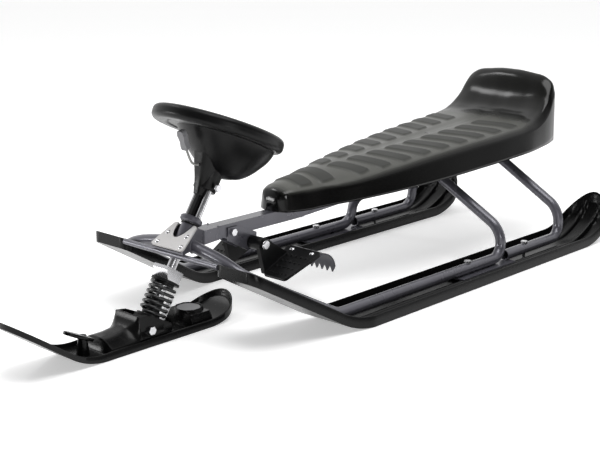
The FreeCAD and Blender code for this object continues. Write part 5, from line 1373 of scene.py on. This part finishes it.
    def hump(self, along: numpy.ndarray, offset: numpy.ndarray) -> numpy.ndarray:
        """Height of the hump with its ring and the recess of the disc.

        Args:
            along: Stations of the points.
            offset: Distances from the middle.

        Returns:
            The heights.
        """
        ends = numpy.minimum(along - self.hump_rear, (self.hump_front - along) * self.hump_front_steepness)
        inset = numpy.minimum(ends, self.hump_half - offset)
        block = self.hump_height * numpy.clip(inset / self.hump_draft, 0.0, 1.0)
        away = numpy.hypot(along - self.disc, offset)
        ring = self.disc_height * within(away, self.disc_radius, self.soft)
        recess = self.disc_drop * within(away, self.disc_radius - self.disc_ring, self.soft)
        return numpy.maximum(block, ring) - recess

    def hook_parts(self) -> list[bpy.types.Mesh]:
        """The neck and the long tab of the rope hook.

        Returns:
            Their meshes.
        """
        foot = self.floor * 0.5
        height = self.hook_height - foot
        neck = turned("hook_neck", (self.hook_foot, self.hook_neck), height,
                      Matrix.Translation(metres((self.hook, 0.0, foot + height * 0.5))), self.neck_sides)
        form = bmesh.new()
        bmesh.ops.create_cone(form, cap_ends=True, segments=self.round_sides, radius1=0.5, radius2=0.5,
                              depth=1.0)
        edges = [edge for edge in form.edges if abs(edge.verts[0].co.z - edge.verts[1].co.z) < 0.5]
        bmesh.ops.bevel(form, geom=edges, offset=self.hook_edge, segments=4, profile=0.5, affect="EDGES")
        grow = Matrix.Diagonal((self.hook_length * MM, self.hook_width * MM, self.hook_thickness * MM, 1.0))
        station = self.hook + self.hook_length * self.hook_ahead
        place = Matrix.Translation(metres((station, 0.0, self.hook_height)))
        turn = Matrix.Rotation(math.radians(-self.hook_tilt), 4, "Y")
        bmesh.ops.transform(form, matrix=place @ turn @ grow, verts=form.verts)
        return [smoothed(neck), smoothed(mesh_of("hook_tab", form))]

    def moulded(self) -> bpy.types.Mesh:
        """The ski with its hook.

        Returns:
            The mesh.
        """
        stations = self.stations()
        behind = numpy.clip(self.tail + self.half_width - stations, 0.0, self.half_width)
        ahead = numpy.clip(stations - (self.tip - self.half_width), 0.0, self.half_width)
        ends = numpy.maximum(behind, ahead)
        share = numpy.sqrt(self.half_width ** 2 - ends ** 2) / self.half_width
        across = share * mirrored_lines(self.lines)[None, :]
        offset = numpy.abs(across)
        along = numpy.broadcast_to(stations, across.shape)
        edge = self.half_width - numpy.hypot(numpy.broadcast_to(ends, across.shape), across)
        base = self.base(along)
        start, end = self.tip_wall_run
        tip_share = ramp(along, self.bend + start, self.bend + end)
        wall_rise = self.wall_height + (self.tip_wall - self.wall_height) * tip_share - self.floor
        wall = self.floor + wall_rise * within(edge, self.wall, self.soft)
        wall = wall - (1.0 - ramp(edge, 0.0, self.lip_reach))
        forms = [form(along, offset) for form in (self.prow, self.deck, self.hump)]
        high = numpy.maximum.reduce([base + wall, *forms])
        blade = closed_form("front_ski_moulded", along, across, base, high)
        return joined("front_ski_moulded", [blade, *self.hook_parts()])

    def build(self, finishes: Finishes) -> list[bpy.types.Object]:
        """Builds the ski and its disc in place of their CAD solids.

        Args:
            finishes: The finishes.

        Returns:
            The ski and the disc.
        """
        ski = ride_as(placed("front_ski_moulded", self.moulded()), Body.SKI, Slot.SKI_BLACK, finishes,
                      "front_ski")
        radius = self.disc_radius - self.disc_ring - self.plate_gap
        level = self.disc_height - self.disc_drop + self.plate_rise
        plate = turned("front_ski_disc_plate", (radius, radius - self.plate_draft), self.plate_depth,
                       Matrix.Translation(metres((self.disc, 0.0, level))), self.round_sides)
        disc = ride_as(placed("front_ski_disc_plate", plate), Body.SKI, Slot.HANDLE_GREY, finishes,
                       "front_ski_disc")
        return [ski, disc]


@dataclass
class WheelHub:
    """The hub: a deep bowl under the wheel, leaning back, with a socket on the column and a flared front.

    Each ring of the bowl gives its shift ahead, its depth under the wheel, its radius and its lean. Each
    ring of the flare gives its place up the column, its shift ahead, half depth and half width.
    """

    wheel: Point = (236.0, 0.0, 317.0)
    wheel_tilt: float = 24.0
    axis: Point = (303.0, 0.0, 170.0)
    rake: float = 33.0
    rings: tuple[tuple[float, ...], ...] = (
        (-22.0, 9.0, 84.0, 0.0),
        (-26.0, 17.0, 81.0, 1.0),
        (-32.0, 32.0, 71.0, 3.0),
        (-38.0, 47.0, 57.0, 6.0),
        (-42.0, 60.0, 43.0, 8.0),
        (-44.0, 70.0, 27.0, 9.0),
        (-44.0, 74.0, 10.0, 9.0),
        (-44.0, 74.6, 0.2, 9.0),
    )
    socket_radius: float = 19.5
    socket_edge: Span = (1.0, 1.5)
    socket_low: float = 60.0
    socket_high: float = 122.0
    flare: tuple[tuple[float, ...], ...] = (
        (48.0, 4.0, 11.0, 8.0),
        (70.0, 7.0, 16.0, 12.0),
        (95.0, 14.0, 22.0, 17.0),
        (128.0, 22.0, 30.0, 24.0),
        (150.0, 26.0, 34.0, 27.0),
    )
    round_power: float = 2.0
    flare_power: float = 3.5
    sharp_angle: float = 42.0
    steps: int = 30
    around: int = 96

    def loft(self, name: str, rings: Sequence[numpy.ndarray]) -> bpy.types.Mesh:
        """A closed skin over rings of points.

        Args:
            name: Name of the mesh.
            rings: The rings.

        Returns:
            The mesh.
        """
        count = len(rings[0])
        last = (len(rings) - 1) * count
        faces = [[start + index, start + (index + 1) % count, start + count + (index + 1) % count,
                  start + count + index] for start in range(0, last, count) for index in range(count)]
        faces.append(list(range(count)))
        faces.append(list(range(last, last + count)))
        return moulding(name, numpy.vstack(list(rings)), faces, self.sharp_angle)

    def bowl(self) -> bpy.types.Mesh:
        """The bowl, ring by ring down from the rim.

        Returns:
            The mesh.
        """
        table = numpy.array(self.rings)
        knots = numpy.arange(len(table), dtype=float)
        turns = full_turn(self.around)
        ahead, up = leaning(self.wheel_tilt)
        rings = []
        for shift, depth, radius, lean in through(knots, table, numpy.linspace(0.0, knots[-1], self.steps)):
            first, _ = leaning(self.wheel_tilt - lean)
            middle = numpy.array(self.wheel) + ahead * shift - up * depth
            circle = numpy.cos(turns) * first + numpy.sin(turns) * numpy.array((0.0, 1.0, 0.0))
            rings.append(middle + radius * circle)
        return self.loft("hub_bowl", rings)

    def column(self, name: str, rows: Iterable[tuple[float, ...]], power: float) -> bpy.types.Mesh:
        """A form along the steering axis.

        Args:
            name: Name of the mesh.
            rows: Place along, shift forward, half depth and half width of each ring.
            power: Squareness of the rings, 2 for round.

        Returns:
            The mesh.
        """
        ahead, up = leaning(self.rake)
        turns = full_turn(self.around)
        first, second = (numpy.sign(wave) * numpy.abs(wave) ** (2.0 / power)
                         for wave in (numpy.cos(turns), numpy.sin(turns)))
        rings = []
        for along, shift, depth, width in rows:
            middle = numpy.array(self.axis) + up * along + ahead * shift
            rings.append(middle + first * ahead * depth + second * numpy.array((0.0, width, 0.0)))
        return self.loft(name, rings)

    def build(self, finishes: Finishes) -> bpy.types.Object:
        """Builds the hub in place of its CAD solid.

        Args:
            finishes: The finishes.

        Returns:
            The hub.
        """
        radius = self.socket_radius
        inset, rise = self.socket_edge
        socket = self.column("hub_socket", [(self.socket_low, 0.0, radius - inset, radius - inset),
                                            (self.socket_low + rise, 0.0, radius, radius),
                                            (self.socket_high, 0.0, radius, radius)], self.round_power)
        table = numpy.array(self.flare)
        places = numpy.linspace(table[0, 0], table[-1, 0], self.steps)
        rows = numpy.column_stack([places, through(table[:, 0], table[:, 1:], places)])
        flare = self.column("hub_flare", rows, self.flare_power)
        mesh = joined("steering_hub_moulded", [self.bowl(), socket, flare])
        return ride_as(placed("steering_hub_moulded", mesh), Body.STEERING, Slot.WHEEL_BLACK, finishes,
                       "steering_hub")


@dataclass
class BowTube:
    """A bow tube that leaves the nose and bends down the side ski's raised nose to the rail."""

    diameter: float = 20.0
    steps: int = 14
    bevel_steps: int = 8
    route: tuple[Point, ...] = (
        (321.0, 27.0, 140.0), (321.0, 84.0, 131.0), (321.0, 116.0, 122.0), (318.0, 138.0, 112.0),
        (300.0, 152.0, 101.0), (262.0, 164.0, 79.0), (200.0, 176.0, 46.0), (170.0, 184.0, 30.0),
        (151.0, 189.0, 20.5), (130.0, 189.0, 20.0), (112.0, 189.0, 20.0),
    )

    def build(self, side: float, node: str, finishes: Finishes) -> bpy.types.Object:
        """Builds one tube in place of its CAD solid.

        Args:
            side: 1 for the left tube, -1 for the right one.
            node: CAD node that it replaces.
            finishes: The finishes.

        Returns:
            The tube.
        """
        spots = metres(self.route) * numpy.array((1.0, side, 1.0))
        mesh = smoothed(applied(bent_rod(node + "_bent", spots, self.diameter, self.steps, self.bevel_steps)))
        return ride_as(placed(node + "_bent", mesh), Body.FRAME, Slot.FRAME_PAINT, finishes, node)


@dataclass
class CrossTube:
    """The tube that runs under the nose from one side ski to the other."""

    station: float = 347.5
    height: float = 127.6
    radius: float = 5.0
    half_length: float = 113.0
    segments: int = 40

    def build(self, finishes: Finishes) -> bpy.types.Object:
        """Builds the tube in place of its CAD solid.

        Args:
            finishes: The finishes.

        Returns:
            The tube.
        """
        place = Matrix.Translation(metres((self.station, 0.0, self.height)))
        place = place @ Matrix.Rotation(math.pi * 0.5, 4, "X")
        mesh = turned("front_cross_tube_bar", (self.radius, self.radius), self.half_length * 2.0, place,
                      self.segments)
        return ride_as(placed("front_cross_tube_bar", smoothed(mesh)), Body.FRAME, Slot.FRAME_PAINT,
                       finishes, "front_cross_tube")


@dataclass
class TowCord:
    """The cord that joins the tow handle to the reel in the hub."""

    diameter: float = 4.0
    length: float = 65.2
    steps: int = 16
    bevel_steps: int = 6
    route: tuple[Point, ...] = ((267.0, 0.0, 264.0), (290.89, 0.0, 264.0), (301.88, 0.0, 278.86),
                                (309.37, 0.0, 301.92))

    def build(self, finishes: Finishes) -> bpy.types.Object:
        """Builds the cord in place of its CAD solid.

        Args:
            finishes: The finishes.

        Returns:
            The cord.
        """
        spots = metres(self.route)
        cord = ride_as(bent_rod("tow_cord_braid", spots, self.diameter, self.steps, self.bevel_steps),
                       Body.STEERING, Slot.CORD_GREY, finishes, "tow_cord")
        return cord


class PieceTree(Nodes):
    """A Geometry Nodes tree that takes lines and gives a finished piece."""

    def __init__(self, name: str) -> None:
        """Starts a tree that takes and gives geometry.

        Args:
            name: Name of the tree.
        """
        super().__init__(bpy.data.node_groups.new(name, "GeometryNodeTree"))
        for way in ("INPUT", "OUTPUT"):
            self.tree.interface.new_socket("Geometry", in_out=way, socket_type="NodeSocketGeometry")
        self.entry = self.add("NodeGroupInput")
        self.exit = self.add("NodeGroupOutput")

    def value(self, name: str, kind: str = "NodeSocketFloat") -> Socket:
        """Adds a named input to the tree and gives its socket inside."""
        self.tree.interface.new_socket(name, in_out="INPUT", socket_type=kind)
        return self.entry.outputs[name]

    def close(self, geometry: Socket) -> None:
        """Realizes the instances, shades them smooth, gives them their finish and ends the tree.

        Args:
            geometry: Geometry to end with.
        """
        kinds = ("GeometryNodeRealizeInstances", "GeometryNodeSetShadeSmooth", "GeometryNodeSetMaterial")
        for kind in kinds:
            node = self.add(kind)
            self.join(geometry, node.inputs["Geometry"])
            geometry = node.outputs["Geometry"]
        self.join(self.value("Finish", "NodeSocketMaterial"), node.inputs["Material"])
        self.join(geometry, self.exit.inputs["Geometry"])

    def run(self, obj: bpy.types.Object, **values: object) -> bpy.types.Mesh:
        """Runs the tree on an object.

        Args:
            obj: Object that carries the lines.
            **values: Named inputs, with underscores for spaces.

        Returns:
            The plain mesh.
        """
        modifier = obj.modifiers.new(self.tree.name, "NODES")
        modifier.node_group = self.tree
        for item in self.tree.interface.items_tree:
            key = item.name.replace(" ", "_")
            if item.in_out == "INPUT" and key in values:
                modifier[item.identifier] = values[key]
        return applied(obj)


@dataclass
class Welds:
    """Weld beads round the frame's joints, laid bead on bead by a tree."""

    tube_radius: float = 10.0
    bead: float = 1.7
    bead_lift: float = 0.2
    pitch: float = 1.5
    least: Point = (0.85, 0.8, 0.8)
    most: Point = (1.1, 1.12, 1.12)
    seed: int = 4
    ring_points: int = 40
    beam_half: float = 12.6
    beam_low: float = 135.0
    beam_high: float = 157.0
    nose_rear: float = 251.4
    legs: tuple[Span, ...] = ((-331.0, 161.0), (-531.0, 172.0))
    bow: Point = (322.0, 27.6, 140.0)
    bow_way: Point = (0.954, 0.301, 0.0)

    def tree(self) -> PieceTree:
        """The tree: a row of flattened beads along each line.

        Returns:
            The tree.
        """
        tree = PieceTree("weld_beads")
        curve = tree.add("GeometryNodeMeshToCurve")
        spaced = tree.add("GeometryNodeResampleCurve", mode="LENGTH")
        bead = tree.add("GeometryNodeMeshIcoSphere")
        bead.inputs["Subdivisions"].default_value = 2
        tangent = tree.add("GeometryNodeInputTangent")
        aim = tree.add("FunctionNodeAlignRotationToVector", axis="X")
        vary = tree.add("FunctionNodeRandomValue", data_type="FLOAT_VECTOR")
        vary.inputs[0].default_value = self.least
        vary.inputs[1].default_value = self.most
        laid = tree.add("GeometryNodeInstanceOnPoints")
        tree.join(tree.entry.outputs["Geometry"], curve.inputs["Mesh"])
        tree.join(curve.outputs["Curve"], spaced.inputs["Curve"])
        tree.join(tree.value("Bead pitch"), spaced.inputs["Length"])
        tree.join(tree.value("Bead radius"), bead.inputs["Radius"])
        tree.join(tree.value("Seed", "NodeSocketInt"), vary.inputs["Seed"])
        tree.join(tangent.outputs["Tangent"], aim.inputs["Vector"])
        tree.join(spaced.outputs["Curve"], laid.inputs["Points"])
        tree.join(bead.outputs["Mesh"], laid.inputs["Instance"])
        tree.join(aim.outputs["Rotation"], laid.inputs["Rotation"])
        tree.join(vary.outputs[0], laid.inputs["Scale"])
        tree.close(laid.outputs["Instances"])
        return tree

    def ring(self, middle: Point, way: Point) -> numpy.ndarray:
        """An upright ring of points round a tube's end.

        Args:
            middle: Middle of the ring.
            way: Level direction across the ring.

        Returns:
            The points, in metres.
        """
        radius = self.tube_radius + self.bead * self.bead_lift
        turns = full_turn(self.ring_points)
        level, upright = numpy.array(way) * radius, numpy.array((0.0, 0.0, radius))
        return metres(numpy.array(middle) + numpy.cos(turns) * level + numpy.sin(turns) * upright)

    def lines(self) -> bpy.types.Object:
        """The lines of the welds: legs to beam, bow tubes to nose and beam to nose.

        Returns:
            An object of edges.
        """
        points: list[list[float]] = []
        edges: list[tuple[int, int]] = []
        for side in (1.0, -1.0):
            mirror = numpy.array((1.0, side, 1.0))
            rings = [self.ring((station, side * self.beam_half, height), (1.0, 0.0, 0.0))
                     for station, height in self.legs]
            rings.append(self.ring(self.bow * mirror, self.bow_way * mirror))
            seam = metres([(self.nose_rear, side * self.beam_half, height)
                           for height in (self.beam_low, self.beam_high)])
            for spots in (*rings, seam):
                start, count = len(points), len(spots)
                points.extend(spots.tolist())
                edges.extend((start + index, start + index + 1) for index in range(count - 1))
                if spots is not seam:
                    edges.append((start + count - 1, start))
        mesh = bpy.data.meshes.new("weld_lines")
        mesh.from_pydata(points, edges, [])
        return placed("weld_lines", mesh)

    def build(self, finishes: Finishes) -> bpy.types.Object:
        """Builds the weld beads.

        Args:
            finishes: The finishes.

        Returns:
            The piece.
        """
        mesh = self.tree().run(self.lines(), Bead_pitch=self.pitch * MM, Bead_radius=self.bead * MM,
                               Seed=self.seed, Finish=finishes.by_slot[Slot.FRAME_PAINT])
        return ride_as(placed("frame_welds", mesh), Body.FRAME, Slot.FRAME_PAINT, finishes)


@dataclass(frozen=True)
class SoftBox:
    """A rectangular studio lamp, in metres and watts."""

    name: str
    place: Point
    aim: Point
    size: Span
    power: float

    def hang(self) -> None:
        """Hangs the lamp so that it faces its aim."""
        data = bpy.data.lights.new(self.name, "AREA")
        data.shape = "RECTANGLE"
        data.size, data.size_y = self.size
        data.energy = self.power
        lamp = placed(self.name, data)
        lamp.location = self.place
        lamp.rotation_euler = (Vector(self.aim) - Vector(self.place)).to_track_quat("-Z", "Y").to_euler()


@dataclass
class Studio:
    """A pale floor, a bright backdrop side, soft light and the camera of the photograph."""

    camera_place: Point = (1.687, 1.532, 0.705)
    camera_azimuth: float = 132.9
    camera_elevation: float = 14.65
    focal_pixels: float = 1300.5
    frame_pixels: float = 600.0
    sensor: float = 36.0
    sight: float = 120.0
    floor_half: float = 40.0
    floor_level: float = -0.0005
    floor_colour: Colour = (0.95, 0.95, 0.95)
    floor_roughness: float = 0.9
    floor_shine: float = 0.1
    floor_glow: float = 0.4
    backdrop_way: Point = (-0.69, -0.66, 0.30)
    backdrop_span: Span = (-0.35, 0.75)
    sky_dim: float = 0.09
    sky_bright: float = 1.0
    lamps: tuple[SoftBox, ...] = (
        SoftBox("key_box", (0.3, 0.7, 2.7), (0.0, 0.0, 0.1), (2.2, 1.4), 40.0),
        SoftBox("front_box", (2.3, -2.0, 0.55), (0.1, 0.0, 0.2), (0.8, 0.5), 18.0),
        SoftBox("side_box", (1.5, 2.6, 0.75), (0.0, 0.0, 0.2), (0.8, 0.4), 10.0),
        SoftBox("back_box", (0.7, -1.7, 2.1), (-0.5, 0.0, 0.3), (0.7, 0.35), 7.0),
    )

    def camera(self) -> None:
        """Places the camera."""
        azimuth = math.radians(self.camera_azimuth)
        elevation = math.radians(self.camera_elevation)
        back = Vector((math.sin(azimuth) * math.cos(elevation), -math.cos(azimuth) * math.cos(elevation),
                       math.sin(elevation)))
        data = bpy.data.cameras.new("photo_camera")
        data.sensor_width = self.sensor
        data.lens = self.focal_pixels / self.frame_pixels * self.sensor
        data.clip_end = self.sight
        camera = placed("photo_camera", data)
        camera.location = self.camera_place
        camera.rotation_mode = "QUATERNION"
        camera.rotation_quaternion = (-back).to_track_quat("-Z", "Y")
        bpy.context.scene.camera = camera

    def floor(self) -> None:
        """Lays a pale floor that keeps the sled's shadow."""
        mesh = bpy.data.meshes.new("studio_floor")
        signs = ((-1.0, -1.0), (1.0, -1.0), (1.0, 1.0), (-1.0, 1.0))
        half = self.floor_half
        corners = [(first * half, second * half, self.floor_level) for first, second in signs]
        mesh.from_pydata(corners, [], [(0, 1, 2, 3)])
        floor = placed("studio_floor", mesh)
        shader = Shader("studio_floor")
        shader.set(Base_Color=(*self.floor_colour, 1.0), Roughness=self.floor_roughness,
                   Specular_IOR_Level=self.floor_shine, Emission_Color=(1.0, 1.0, 1.0, 1.0))
        path = shader.add("ShaderNodeLightPath")
        seen = shader.combine(path.outputs["Is Camera Ray"], path.outputs["Is Glossy Ray"], "MAXIMUM")
        seen = shader.combine(seen, path.outputs["Is Transmission Ray"], "MAXIMUM")
        shader.feed(Emission_Strength=shader.span(seen, 0.0, self.floor_glow, 0.0, 1.0))
        mesh.materials.append(shader.material)

    def sky(self) -> None:
        """Surrounds the sled with soft light, brighter on the backdrop's side."""
        world = bpy.data.worlds.new("studio_sky")
        bpy.context.scene.world = world
        world.use_nodes = True
        nodes = Nodes(world.node_tree)
        background = world.node_tree.nodes["Background"]
        background.inputs["Color"].default_value = (1.0, 1.0, 1.0, 1.0)
        source = nodes.add("ShaderNodeTexCoord")
        facing = nodes.add("ShaderNodeVectorMath", operation="DOT_PRODUCT")
        facing.inputs[1].default_value = self.backdrop_way
        nodes.join(source.outputs["Generated"], facing.inputs[0])
        strength = nodes.span(facing.outputs["Value"], self.sky_dim, self.sky_bright, *self.backdrop_span,
                              kind="SMOOTHSTEP")
        nodes.join(strength, background.inputs["Strength"])

    def build(self) -> None:
        """Builds the studio."""
        bpy.context.scene.view_settings.view_transform = "Standard"
        self.camera()
        self.floor()
        self.sky()
        for lamp in self.lamps:
            lamp.hang()
        LOG.info("studio built")


def main() -> None:
    """Builds every piece of the sled's looks in order."""
    logging.basicConfig(level=logging.INFO)
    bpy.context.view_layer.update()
    finishes = Finishes()
    Studio().build()
    TowCord().build(finishes)
    for node, slot in node_slots().items():
        finishes.dress(frame["nodes"][node], slot)
        LOG.info("dressed %s", node)
    Seat().build(finishes)
    for side, name in ((1.0, "left"), (-1.0, "right")):
        SideSki().build(side, name + "_ski", finishes)
        BowTube().build(side, name + "_bow_tube", finishes)
    CrossTube().build(finishes)
    FrontSki().build(finishes)
    WheelHub().build(finishes)
    Welds().build(finishes)


if __name__ == "__main__":
    main()
